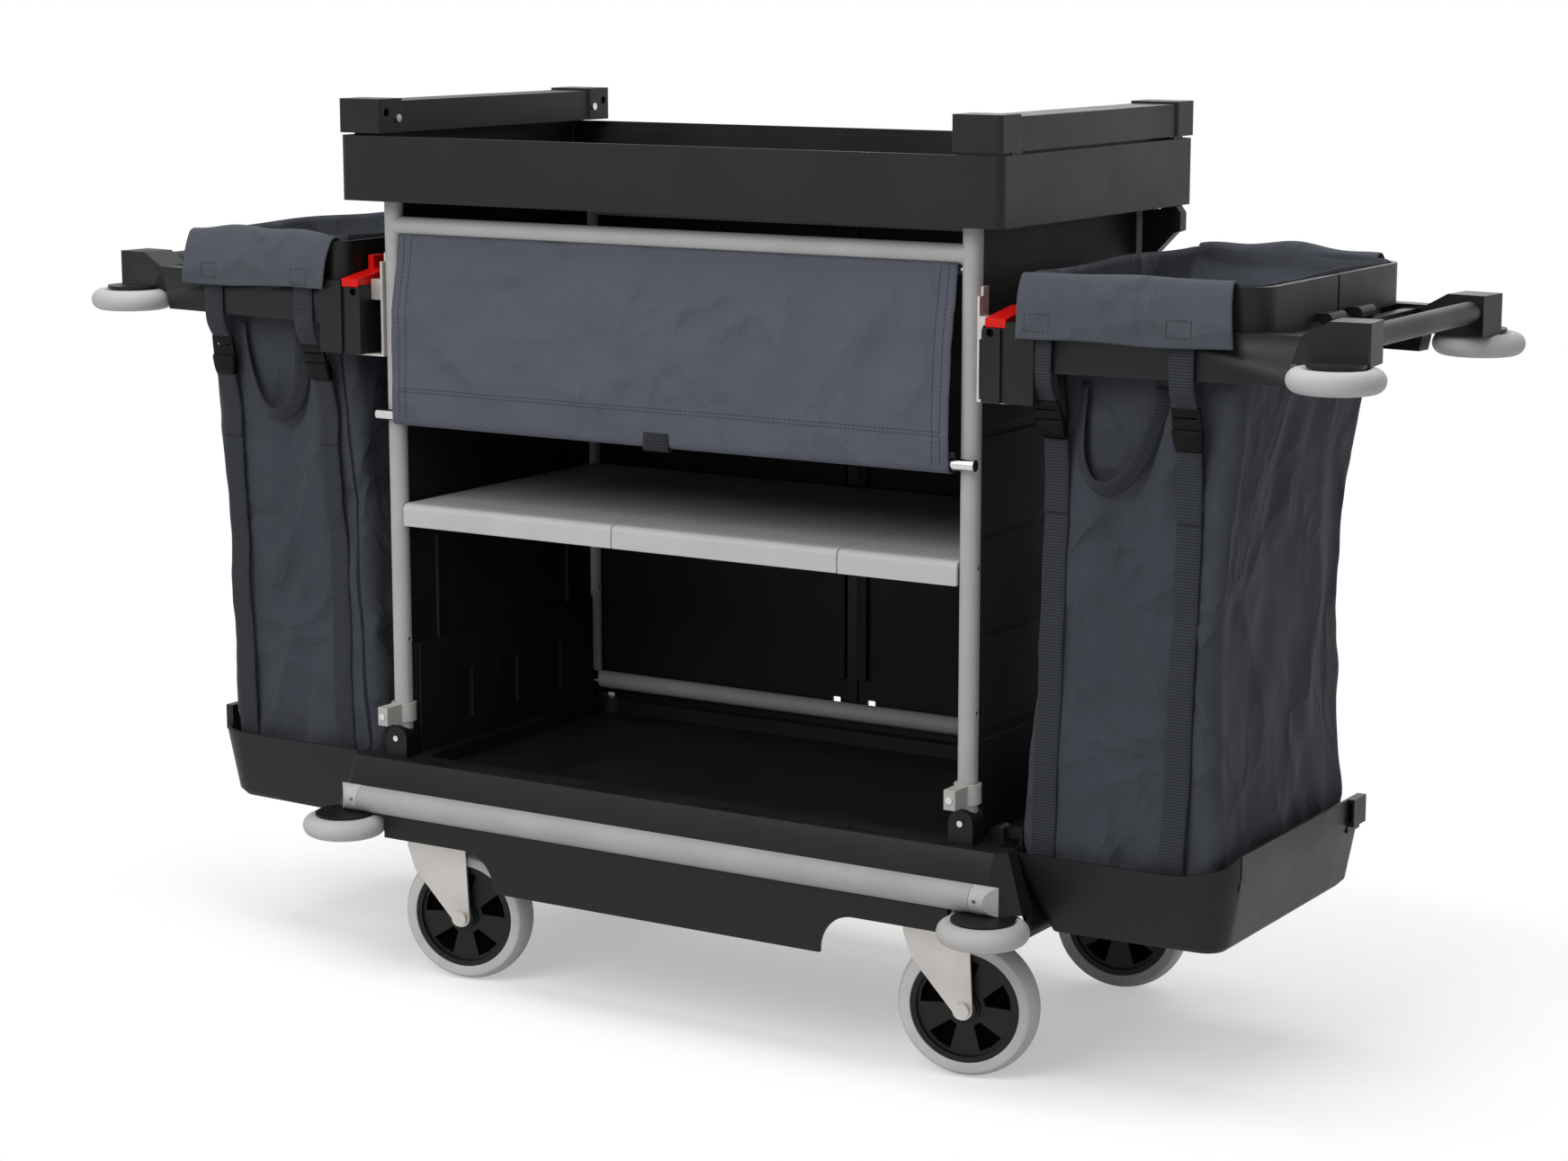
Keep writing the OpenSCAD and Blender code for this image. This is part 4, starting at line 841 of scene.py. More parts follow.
@dataclass
class HubWindows:
    """Black plates of painted shade on the floors of the wedge windows in both faces of one wheel hub."""

    corner: Corner
    radius: float = 62.0
    floor: float = 5.9
    face: float = 7.4
    tip_gap: float = 0.2
    turn_gap: float = 0.3

    # corners of a window as shares of the hub's radius: out from the axle, and across
    OUTLINE = ((0.37, -0.066), (0.37, 0.066), (0.795, 0.232), (0.832, 0.0), (0.795, -0.232))
    TIP = 0.84

    def build(self) -> None:
        """Make the ten shade plates of a wheel from where the hub's windows are."""
        word = self.corner.value
        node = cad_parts[f"wheel_hub_{word}"]
        points = np.array([v.co for v in node.data.vertices]) / MM
        middle = (points.min(axis=0) + points.max(axis=0)) / 2
        axle = np.linalg.eigh(np.cov((points - middle).T))[1][:, 0]
        level = np.cross(axle, (0, 0, 1))
        level /= np.linalg.norm(level)
        up = np.cross(level, axle)
        across, rise = (points - middle) @ level, (points - middle) @ up
        tips = np.abs(np.hypot(across, rise) - self.TIP * self.radius) < self.tip_gap
        turns = np.sort(np.arctan2(rise[tips], across[tips]))
        turns = turns[np.concatenate([[True], np.diff(turns) > self.turn_gap])]
        made = []
        faces = prism_faces(len(self.OUTLINE))
        for turn in turns:
            out = level * math.cos(turn) + up * math.sin(turn)
            aside = up * math.cos(turn) - level * math.sin(turn)
            ring = [middle + (out * a + aside * b) * self.radius for a, b in self.OUTLINE]
            for way in (-1, 1):
                corners = [c + axle * way * d for d in (self.floor, self.face) for c in ring]
                # each plate is a dark sheet of painted shade on the floor of a window
                plate = make_object("window", np.array(corners) * MM, faces, Finish.HUB_WINDOW)
                fix_normals(plate)
                made.append(plate)
        floors = join(f"hub_windows_{word}", made)
        floors.data.polygons.foreach_set("use_smooth", [False] * len(floors.data.polygons))
        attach(floors, f"wheel_{word}")
        LOG.info("made %d windows of the %s hub", len(made), word)


@dataclass
class DoorGapShade:
    """Thin black strips on the rear rails, one upright and one along the foot: painted shade that closes the
    gaps at the doors.
    """

    # half width, lower edge and upper edge of each strip
    STRIPS = ((7.0, 292.0, 900.0), (358.0, 267.1, 281.0))
    near: float = 205.8
    far: float = 207.8
    edge_mm: float = 0.4

    def build(self, hard: HardParts) -> None:
        """Make the strips.

        Args:
            hard: gives the strips their soft edges.
        """
        faces = [(0, 2, 3, 1), (4, 5, 7, 6), (0, 1, 5, 4), (2, 6, 7, 3), (0, 4, 6, 2), (1, 3, 7, 5)]
        strips = []
        for half, low, high in self.STRIPS:
            corners = [(x, y, z) for z in (low, high) for y in (self.near, self.far) for x in (-half, half)]
            # each strip is a dark sheet of painted shade across a gap at the doors
            strips.append(make_object("door_strip", np.array(corners) * MM, faces, Finish.BLACK_MOULDING))
        stop = join("door_stop_strips", strips)
        hard.soften(stop, self.edge_mm)
        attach(stop, "chassis")
        LOG.info("made the door gap shade")


@dataclass
class BinShell:
    """Lower bin: its raised outer wall runs down round one corner, and its lip is an ear at the other."""

    side: Side
    lip_y: float = 160.0
    outer_x: float = 690.0
    top: float = 262.0
    draft: float = 0.1647
    ear: float = 34.0
    wall: float = 3.5
    corner: float = 44.0
    corner_y: float = -150.0
    # the lip is cut this far below the rim, and the cut reaches past the bin on its other sides
    lip_drop: float = 26.0
    past_end: float = 6.0
    past_side: float = 20.0
    past_top: float = 40.0
    cut_gap: float = 0.02
    # the corner's wall stands this far in from the bin's face, and reaches into the rim
    wall_gap: float = 0.06
    root: float = 5.0

    # way round the corner and height of the wall there
    SLOPE = ((0, 23.0), (9, 22.8), (20, 18.0), (34, 10.5), (60, 6.0), (78, 1.6), (95, 0.0))
    TURN_COUNT = 25
    # the wall runs on straight after the corner
    STRAIGHT = (2.0, 26.0, 12)

    def build(self, hard: HardParts) -> None:
        """Make the bin from its node.

        Args:
            hard: gives the bin its soft edges.
        """
        word = self.side.word
        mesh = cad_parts[f"bin_{word}"].data.copy()
        mesh.name = f"bin_shell_{word}"
        mesh.materials.clear()
        mesh.materials.append(Finish.DARK_MOULDING.material)
        obj = link_object(mesh.name, mesh)
        weld = obj.modifiers.new("weld", "WELD")
        weld.merge_threshold = WELD_GAP
        start, stop = -self.lip_y - self.past_end, self.lip_y - self.ear
        near, far = self.outer_x + self.cut_gap, self.outer_x + self.past_side
        high, low = self.top + self.past_top, self.top - self.lip_drop
        lip = [(near, high), (far, high), (far, low), (near - self.lip_drop * self.draft, low),
               (near, self.top)]
        self.cut(obj, [(x, start, z) for x, z in lip], (0, stop - start, 0))
        bake_modifiers(obj)
        obj = join(mesh.name, [obj, self.make_corner()])
        hard.soften(obj, hard.edge_mm)
        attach(obj, f"bin_{word}")
        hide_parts(f"bin_{word}")
        LOG.info("made the %s bin", word)

    def make_corner(self) -> bpy.types.Object:
        """Make the wall that runs down round the corner from the raised end to the rim.

        Returns:
            The new object.
        """
        middle = np.array((self.outer_x - self.corner, self.corner_y))
        last = self.TURN_COUNT - 1
        ways = [np.array((math.cos(a), -math.sin(a))) for a in np.linspace(0, math.pi / 2, self.TURN_COUNT)]
        arc = self.corner * math.pi / 2
        run = np.concatenate([np.linspace(0, arc, self.TURN_COUNT), arc + np.linspace(*self.STRAIGHT)])
        height = np.interp(run, *zip(*self.SLOPE))
        points: list[Point] = []
        for k, (s, h) in enumerate(zip(run, height)):
            back = np.array((-max(0.0, s - arc), 0.0))
            section = ((self.wall_gap, -self.root), (self.wall_gap, h), (self.wall, h),
                       (self.wall, -self.root))
            for inset, z in section:
                x, y = middle + ways[min(k, last)] * (self.corner - inset) + back
                points.append((x, y, self.top + z))
        turn = self.side.value * MM
        obj = make_object("bin_corner", np.array(points) * (turn, turn, MM), tube_faces(4, len(run)),
                          Finish.DARK_MOULDING)
        fix_normals(obj)
        return obj

    def cut(self, obj: bpy.types.Object, outline: Sequence[Point], along: Point) -> None:
        """Take a prism off the bin.

        Args:
            obj: the bin.
            outline: corners of one end of the prism at the right-hand end, in millimetres.
            along: way from that end to the other.
        """
        turn = self.side.value * MM
        points = np.vstack([np.array(outline), np.array(outline) + along]) * (turn, turn, MM)
        tool = make_object("cutter", points, prism_faces(len(outline)), Finish.DARK_MOULDING)
        fix_normals(tool)
        step = obj.modifiers.new("cut", "BOOLEAN")
        step.operation, step.solver, step.object = "DIFFERENCE", "EXACT", tool
        bake_modifiers(obj)
        bpy.data.objects.remove(tool)


@dataclass
class Blind:
    """Blind cloth that hangs from its rod to the bottom bar."""

    half_width: float = 371.0
    rod_y: float = -200.0
    rod_z: float = 884.0
    rod_r: float = 6.6
    bar_y: float = -214.8
    bar_z: float = 680.0
    bar_r: float = 7.2
    hem: float = 10.0
    hem_seam: float = 34.0
    hem_proud: float = 0.7
    # distance between the hem's two seams, and the margin that the cloth keeps at rod and bar
    hem_step: float = 4.0
    gauge: float = 0.9
    # folds die away over this run at the rod and at the bar, and the cloth hangs clear by the ease
    fade: float = 40.0
    ease: float = 1.5
    thread_lift: float = 0.9
    columns: int = 150
    rows: int = 72
    tab_width: float = 34.0
    tab_gauge: float = 1.6

    # stretch in Z, size, depth and seed of each waviness
    WAVES = ((1.0, 66.0, 5.0, 3.1), (1.6, 27.0, 1.6, 8.3))
    SEAM_COLUMNS = (2, 4, -5, -3)
    FOLDS = (
        Fold(((-300, -215, 870), (-318, -220, 690)), 20, 1.6),
        Fold(((-170, -212, 870), (-150, -220, 700)), 16, -1.5),
        Fold(((-40, -212, 872), (-58, -220, 690)), 24, 1.5),
        Fold(((40, -212, 872), (110, -220, 700)), 16, -1.8),
        Fold(((150, -212, 872), (190, -220, 690)), 20, 1.8),
        Fold(((235, -212, 872), (215, -220, 690)), 16, -1.4),
        Fold(((330, -212, 872), (318, -220, 690)), 18, 1.4),
    )

    def profile(self) -> np.ndarray:
        """Draw the cloth from behind the rod, over it and down round the bar.

        Returns:
            Points of the line as Y and Z, in millimetres.
        """
        rod = [(self.rod_y + self.rod_r * math.cos(a), self.rod_z + self.rod_r * math.sin(a))
               for a in np.radians([-60, 0, 45, 90, 135, 180])]
        low, z = self.bar_z - self.hem, self.bar_z
        front, back = self.bar_y - self.bar_r, self.bar_y + self.bar_r
        down = [(front + 4, z + 110), (front - 0.2, z + 34), (front - 0.4, z), (front + 1.5, low + 3),
                (self.bar_y - 2, low), (back - 1.5, low + 3), (back, z), (back - 4, z + 12)]
        return smooth_path(rod + down, self.rows)

    def build(self) -> None:
        """Make the cloth, its hem and its pull tab."""
        line = self.profile()
        run = run_along(line)
        across = np.linspace(-self.half_width, self.half_width, self.columns)
        points = np.array([(x, y, z) for y, z in line for x in across])
        height = points[:, 2]
        free = ramp(self.rod_z - height, self.fade) * ramp(height - self.bar_z - self.hem_step, self.fade)
        shift = sum(f.lift(points) for f in self.FOLDS)
        for stretch, size, depth, seed in self.WAVES:
            shift = shift + ripple(points * (1, 0, stretch), size, depth, seed)
        points[:, 1] -= free * (shift + self.ease)
        # the double hem stands a little proud above the bar
        front = points[:, 1] < self.bar_y
        points[:, 1] -= self.hem_proud * front * ramp(self.bar_z + self.hem_seam - height, self.hem_step)
        uv = [(x * MM, s * MM) for s in run for x in across]
        cloth = make_object("blind_sheet", points * MM, grid_faces(self.columns, self.rows),
                            Finish.BLIND_CLOTH, uv)
        thicken(cloth, self.gauge * MM, 0.0)
        self.blend(cloth)
        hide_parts("blind_cloth")
        grid = points.reshape(self.rows, self.columns, 3)
        self.build_side_seams(grid)
        self.build_hem_seam(grid, line)
        self.build_tab()
        LOG.info("made the blind")

    def sew(self, name: str, line: np.ndarray) -> bpy.types.Object:
        """Stitch along points of the cloth, in millimetres."""
        return stitches(name, (line - (0, self.thread_lift, 0)) * MM, Vector((0, -1, 0)), HEM_STITCH)

    def build_hem_seam(self, grid: np.ndarray, line: np.ndarray) -> None:
        """Stitch the double hem above the bottom bar.

        Args:
            grid: points of the cloth by row and column, in millimetres.
            line: the plain line that the cloth hangs in.
        """
        # only rows on the front of the bar count
        hung = np.where(line[:, 0] < self.bar_y + self.hem_step, line[:, 1], np.inf)
        rows = []
        for k in (0, 1):
            row = int(np.abs(hung - (self.bar_z + self.hem_seam - self.hem_step * k)).argmin())
            rows.append(self.sew(f"hem_row_{k}", grid[row, 2:-2]))
        seam = join("blind_hem_stitching", rows)
        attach(seam, "blind_weight")

    def build_side_seams(self, grid: np.ndarray) -> None:
        """Stitch the narrow hems down both sides of the cloth.

        Args:
            grid: points of the cloth by row and column, in millimetres.
        """
        rows = []
        for column in self.SEAM_COLUMNS:
            line = grid[:, column]
            seen = (line[:, 1] < self.rod_y - self.hem_step) & (line[:, 2] > self.bar_z - self.hem_step)
            rows.append(self.sew(f"side_row_{column % self.columns}", line[seen]))
        seam = join("blind_side_stitching", rows)
        self.blend(seam)

    def blend(self, obj: bpy.types.Object) -> None:
        """Bake a piece's place into its own mesh."""
        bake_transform(obj)

    def build_tab(self) -> None:
        """Make the folded webbing tab that a hand pulls the blind with."""
        low = self.bar_z - self.hem
        y = self.bar_y - self.bar_r - 1.7
        path = smooth_path([(0, y, low + 17), (0, y - 0.5, low + 6), (0, y - 0.3, low - 1),
                            (0, y + 3, low - 3.4), (0, y + 7, low - 1.5), (0, y + 8.5, low - 0.8)], 26) * MM
        tab = band("blind_pull_tab", path, self.tab_width * MM, self.tab_gauge * MM, Finish.TAB_WEBBING,
                   level_width)
        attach(tab, "blind_weight")


@dataclass
class Bag:
    """Cloth bag that hangs in its frame at one end of the cart."""

    side: Side
    top: float = 884.0
    gauge: float = 1.3
    flap_gauge: float = 1.6
    flap_x: Pair = (454.0, 697.0)
    flap_low: float = 818.0
    flap_lean: float = 0.05
    flap_rise: float = 8.0
    tuck: float = 0.0
    hump: float = 7.0
    front_hump: float = 2.0
    sewn_x: Pair = (478.0, 631.0)
    arm_x: float = 412.0
    arm_face: float = 229.0
    arm_slope: float = 0.1068
    flap_gap: float = 11.0
    rim_in: float = 6.6
    rim_wall: float = 6.0
    arm_top: float = 835.0
    mouth_y: float = 178.4
    mouth_room: float = 2.5
    mouth_run: float = 34.0
    rear_tuck: float = 7.0
    rear_shift: float = 6.0
    floor_edge: float = 186.0
    folded_share: float = 0.3
    rows: int = 96

    # height, inner X, outer X, half depth, corner radius
    LEVELS = ((181.5, 484.0, 663.0, 169.0, 28.0), (226.0, 446.0, 668.0, 174.0, 26.0),
              (270.0, 431.0, 671.0, 177.0, 24.0), (360.0, 440.0, 672.0, 176.0, 23.0),
              (452.0, 447.0, 672.0, 175.0, 22.0), (602.0, 454.0, 676.0, 175.0, 20.0),
              (740.0, 470.0, 686.0, 175.4, 18.0), (884.0, 456.0, 701.0, 177.6, 18.0))
    FRONT_COUNT = 44
    SIDE_COUNT = 60
    CORNER_COUNT = 7
    # ring whose length the weave is laid out by
    WEAVE_RING = 40
    # the flap's line over the rim: Y from the rim, height, and share of the hump
    OVER_RIM = ((-11.0, 866.0, 0.0), (-10.0, 878.0, 0.5), (-6.0, 884.0, 1.0), (0.0, 884.5, 1.0),
                (6.0, 880.0, 0.5))
    # the flap's line down the arm: Y from the hanging face, and height
    DOWN_ARM = ((-5.0, 864.0), (-1.5, 846.0))
    FLAP_COLUMNS = 64
    FLAP_ROWS = 40
    # half width, lower edge and upper edge of the stitched box over a strap
    SEWN_BOX = (13.0, 828.0, 846.0)
    FOLDS = (
        # long face under the flap: hollows between the straps and slanting pulls
        Fold(((575, -178, 742), (566, -177, 600), (552, -176, 430)), 30, -7.0),
        Fold(((520, -178, 735), (526, -177, 640), (518, -176, 560)), 18, 5.0),
        Fold(((606, -178, 735), (598, -177, 560)), 13, 4.5),
        Fold(((510, -178, 640), (545, -177, 560), (598, -176, 470)), 16, 5.0, True),
        Fold(((554, -176, 455), (578, -176, 370), (601, -176, 285)), 15, 6.5, True),
        Fold(((530, -176, 390), (552, -176, 320), (560, -176, 262)), 10, -3.6),
        Fold(((470, -178, 560), (520, -177, 420)), 18, -3.4),
        Fold(((588, -177, 537), (655, -177, 533)), 7, -4.0),
        Fold(((640, -177, 500), (622, -177, 380), (634, -177, 280)), 11, -3.4),
        # outer corner: a soft upright roll that breaks at half height
        Fold(((690, -170, 742), (676, -168, 640), (666, -166, 545)), 13, 5.0),
        Fold(((664, -168, 528), (664, -165, 400), (664, -162, 285)), 13, 4.4),
        # end face: gathers under the arm, a long ridge, and a crease that slants up from the corner
        Fold(((690, -128, 748), (678, -132, 690), (670, -140, 620)), 12, -5.0),
        Fold(((690, -92, 748), (678, -96, 690), (668, -112, 610)), 16, 6.5, True),
        Fold(((690, -34, 748), (676, -40, 680), (664, -64, 596)), 18, -7.5),
        Fold(((690, 26, 748), (674, 26, 690), (664, 18, 640)), 12, -3.1),
        Fold(((690, 62, 748), (674, 70, 690), (664, 82, 600), (662, 80, 470), (662, 52, 380), (664, -8, 300),
              (666, -60, 225)), 22, 9.0, True),
        Fold(((664, -148, 536), (662, -96, 556), (662, -30, 584), (664, 60, 622)), 12, -6.5, True),
        Fold(((672, -160, 640), (664, -128, 596), (662, -96, 568), (662, -40, 596)), 14, 6.0, True),
        Fold(((662, -60, 520), (662, -74, 420), (664, -96, 300)), 26, -5.0),
        Fold(((668, 122, 720), (660, 132, 600), (660, 130, 420), (664, 116, 270)), 17, -3.7),
        Fold(((664, 20, 480), (664, 30, 400), (666, 70, 290)), 15, -2.8),
        Fold(((664, -120, 420), (664, -104, 330), (668, -110, 250)), 13, 2.8),
        # face towards the cart
        Fold(((462, -120, 740), (444, -128, 560), (438, -134, 290)), 16, 4.0),
        Fold(((462, -60, 740), (444, -50, 560), (438, -44, 290)), 20, -4.5),
        Fold(((462, 20, 740), (444, 10, 560), (438, 16, 290)), 20, 4.0),
        Fold(((462, 96, 740), (444, 100, 560), (438, 92, 290)), 18, -4.0),
        # long face at the rear
        Fold(((560, 178, 742), (566, 177, 600), (574, 176, 430)), 32, -5.5),
        Fold(((520, 178, 735), (512, 177, 560)), 15, 3.0),
        Fold(((615, 178, 690), (570, 177, 540), (520, 176, 380)), 17, 3.2),
        Fold(((540, 178, 470), (580, 177, 350), (630, 176, 265)), 16, 3.2),
        Fold(((680, 168, 742), (677, 166, 640), (672, 162, 440), (670, 158, 285)), 12, 4.0),
    )

    def level(self, z: float) -> np.ndarray:
        """Inner X, outer X, half depth and corner radius at a height."""
        table = np.array(self.LEVELS)
        return np.array([np.interp(z, table[:, 0], table[:, k]) for k in range(1, 5)])

    def ring(self, z: float) -> tuple[np.ndarray, np.ndarray]:
        """Outline of the bag at a height.

        Args:
            z: height in millimetres.

        Returns:
            Points and outward directions, round from the front inner corner.
        """
        x0, x1, depth, r = self.level(z)
        points, out = [], []
        sides = ((0, (x0 + r, -depth), (x1 - r, -depth), self.FRONT_COUNT),
                 (90, (x1, -depth + r), (x1, depth - r), self.SIDE_COUNT),
                 (180, (x1 - r, depth), (x0 + r, depth), self.FRONT_COUNT),
                 (270, (x0, depth - r), (x0, -depth + r), self.SIDE_COUNT))
        for turn, a, b, count in sides:
            face = math.radians(turn - 90)
            for t in np.linspace(0, 1, count, endpoint=False):
                points.append((a[0] + (b[0] - a[0]) * t, a[1] + (b[1] - a[1]) * t, z))
                out.append((math.cos(face), math.sin(face), 0))
            middle = (b[0] - r * math.cos(face), b[1] - r * math.sin(face))
            for k in range(self.CORNER_COUNT):
                a_k = face + math.pi / 2 * k / self.CORNER_COUNT
                points.append((middle[0] + r * math.cos(a_k), middle[1] + r * math.sin(a_k), z))
                out.append((math.cos(a_k), math.sin(a_k), 0))
        return np.array(points), np.array(out)

    def drape(self, points: np.ndarray, out: np.ndarray) -> np.ndarray:
        """Give plain points of the bag their folds and slack.

        Args:
            points: points in millimetres.
            out: outward direction at each point.

        Returns:
            The moved points.
        """
        # folds die away in the rim above and on the bin's floor below
        free = ramp(770 - points[:, 2], 40) * ramp(points[:, 2] - 190, 70, 0.12)
        shift = sum(f.lift(points) for f in self.FOLDS)
        shift = shift + ripple(points, 80, 4.5, 1.3 * self.side.value) + ripple(points, 30, 1.3, 5.0)
        points = points + out * (free * shift)[:, None]
        # the outer end hangs slack: it draws in between the frame above and the bin below
        slack = ramp(790 - points[:, 2], 120) * ramp(points[:, 2] - 200, 260, 0.35)
        rear = ramp(points[:, 1] + 40, 200)
        outer = ramp(points[:, 0] - 500, 160)
        points[:, 0] -= slack * outer * (self.tuck + self.rear_tuck * rear * rear)
        points[:, 1] -= slack * rear * self.rear_shift
        return points

    def reach_y(self, x: float, z: float, face: Face, half: float) -> float:
        """How far the long face of the draped bag stands out across a strip of it.

        Args:
            x: middle of the strip.
            z: height of the strip.
            face: front or rear.
            half: half the strip's width.

        Returns:
            Distance from the cart's middle line in millimetres.
        """
        depth = float(self.level(z)[2])
        strip = np.array([(x + d, face.value * depth, z) for d in np.linspace(-half, half, 7)])
        moved = self.drape(strip, np.tile((0.0, float(face.value), 0.0), (len(strip), 1)))
        return float(np.abs(moved[:, 1]).max())

    def arm_reach(self, x: Any) -> Any:
        """Distance of the arm's outer face from the cart's middle line at an X, or at an array of them."""
        return self.arm_face - (x - self.arm_x) * self.arm_slope

    def squash(self, obj: bpy.types.Object) -> None:
        """Give a piece its own copy of its mesh."""
        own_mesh(obj)

    def place(self, points: np.ndarray) -> np.ndarray:
        """Put points of the right-hand bag at this end, in metres."""
        return points * (self.side.value * MM, MM, MM)

    def build(self) -> None:
        """Make the bag's body and both flaps."""
        self.build_body()
        for face in Face:
            self.build_flap(face)
        LOG.info("made the %s bag", self.side.word)

    def build_body(self) -> None:
        """Make the sagging shell with its floor."""
        heights = np.concatenate([[self.LEVELS[0][0]], np.linspace(self.floor_edge, self.top, self.rows)])
        rings = [self.ring(z) for z in heights]
        n = len(rings[0][0])
        points = np.vstack([r[0] for r in rings])
        out = np.vstack([r[1] for r in rings])
        points = self.drape(points, out)
        # inside the rim the mouth opens out to it
        rise = ramp(points[:, 2] - self.arm_top - 4, self.mouth_run)
        rise = rise * rise * (3 - 2 * rise)
        room = self.arm_reach(points[:, 0]) - self.rim_in - self.rim_wall - self.mouth_room
        spread = np.maximum(room / self.mouth_y, 1.0)
        points[:, 1] *= 1 + rise * (spread - 1)
        # a slack upper edge
        edge = ramp(points[:, 2] - self.top + self.mouth_run, self.mouth_run)
        points[:, 2] += edge * (2.2 * np.sin(points[:, 0] / 31) + 1.6 * np.sin(points[:, 1] / 43 + 1))
        around = run_along(rings[self.WEAVE_RING][0])
        uv = [(s * MM, z * MM) for z in heights for s in around]
        faces: list[Sequence[int]] = list(grid_faces(n, len(heights), True))
        faces.append(tuple(range(n - 1, -1, -1)))
        obj = make_object(f"bag_body_{self.side.word}", self.place(points), faces, Finish.BAG_CLOTH, uv)
        fix_normals(obj)
        thicken(obj, self.gauge * MM)
        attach(obj, f"frame_{self.side.word}")
        self.squash(obj)
        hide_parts(f"bag_{self.side.word}")

    def sew_box(self, hang: np.ndarray, x: float, face: Face) -> list[bpy.types.Object]:
        """Stitch the box that holds a strap behind the flap.

        Args:
            hang: points of the flap's hanging part, in millimetres.
            x: middle of the strap.
            face: face that the flap hangs on.

        Returns:
            The four rows of stitches.
        """
        w, low, high = self.SEWN_BOX
        corners = [(x - w, low), (x + w, low), (x + w, high), (x - w, high), (x - w, low)]
        rows = []
        for k in range(4):
            (x0, z0), (x1, z1) = corners[k:k + 2]
            line = []
            for t in np.linspace(0, 1, 10):
                u, v = x0 + (x1 - x0) * t, z0 + (z1 - z0) * t
                near = hang[np.argmin((hang[:, 0] - u) ** 2 + (hang[:, 2] - v) ** 2)]
                line.append((u, near[1] + face.value, v))
            rows.append(stitches(f"seam_{face.word}_{x:.0f}_{k}", self.place(np.array(line)),
                                 Vector((0, face.value, 0)), BOX_STITCH))
        return rows

    def build_flap(self, face: Face) -> None:
        """Make the flap that folds over the rim and hangs in front of the arm.

        Args:
            face: front or rear flap.
        """
        columns, rows = self.FLAP_COLUMNS, self.FLAP_ROWS
        inner_x, outer_x = self.flap_x
        top_hump = self.hump if face is Face.REAR else self.front_hump
        points, uv = [], []
        for i, x in enumerate(np.linspace(inner_x, outer_x, columns)):
            arm = self.arm_reach(x)
            far, over = arm + self.flap_gap, arm - self.rim_in
            drop = 0.9 * math.sin(i / columns * 9 + face.value)
            hump = top_hump * (math.sin(math.pi * i / (columns - 1))
                               + 0.3 * math.sin(i / columns * 13 + self.side.value))
            line = smooth_path([(over + y, z + hump * share) for y, z, share in self.OVER_RIM]
                               + [(far + y, z) for y, z in self.DOWN_ARM]
                               + [(far + 0.5, self.flap_low + drop)], rows)
            run = run_along(line)
            inner = (outer_x - x) / (outer_x - inner_x)
            for k, (y, z) in enumerate(line):
                hang = k / (rows - 1)
                lean = (x - inner_x) * self.flap_lean * hang + self.flap_rise * inner * hang
                points.append((x + lean, y, z + self.flap_rise * inner * hang * hang))
                uv.append((x * MM, run[k] * MM))
        points_a = np.array(points)
        wave = ripple(points_a * (1, 0.3, 1), 48, 2.2, 9.0 + face.value + self.side.value)
        # only the part past the rim is free to wave
        past_rim = np.arange(len(points)) % rows > rows * 0.35
        loose = ramp(880 - points_a[:, 2], 16) * past_rim
        points_a[:, 1] += loose * (wave * 0.6 + 0.6)
        points_a[:, 2] += loose * wave * 0.5
        points_a[:, 1] *= face.value
        # the flap is the bag's cloth in lighter colours: painted light
        obj = make_object(f"bag_flap_{face.word}_{self.side.word}", self.place(points_a),
                          grid_faces(rows, columns), Finish.FLAP_CLOTH, uv)
        thicken(obj, self.flap_gauge * MM, 0.0)
        fix_normals(obj)
        hanging = points_a[points_a[:, 2] < 862]
        seams = [row for x in self.sewn_x for row in self.sew_box(hanging, x, face)]
        obj = join(obj.name, [obj] + seams)
        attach(obj, f"frame_{self.side.word}")


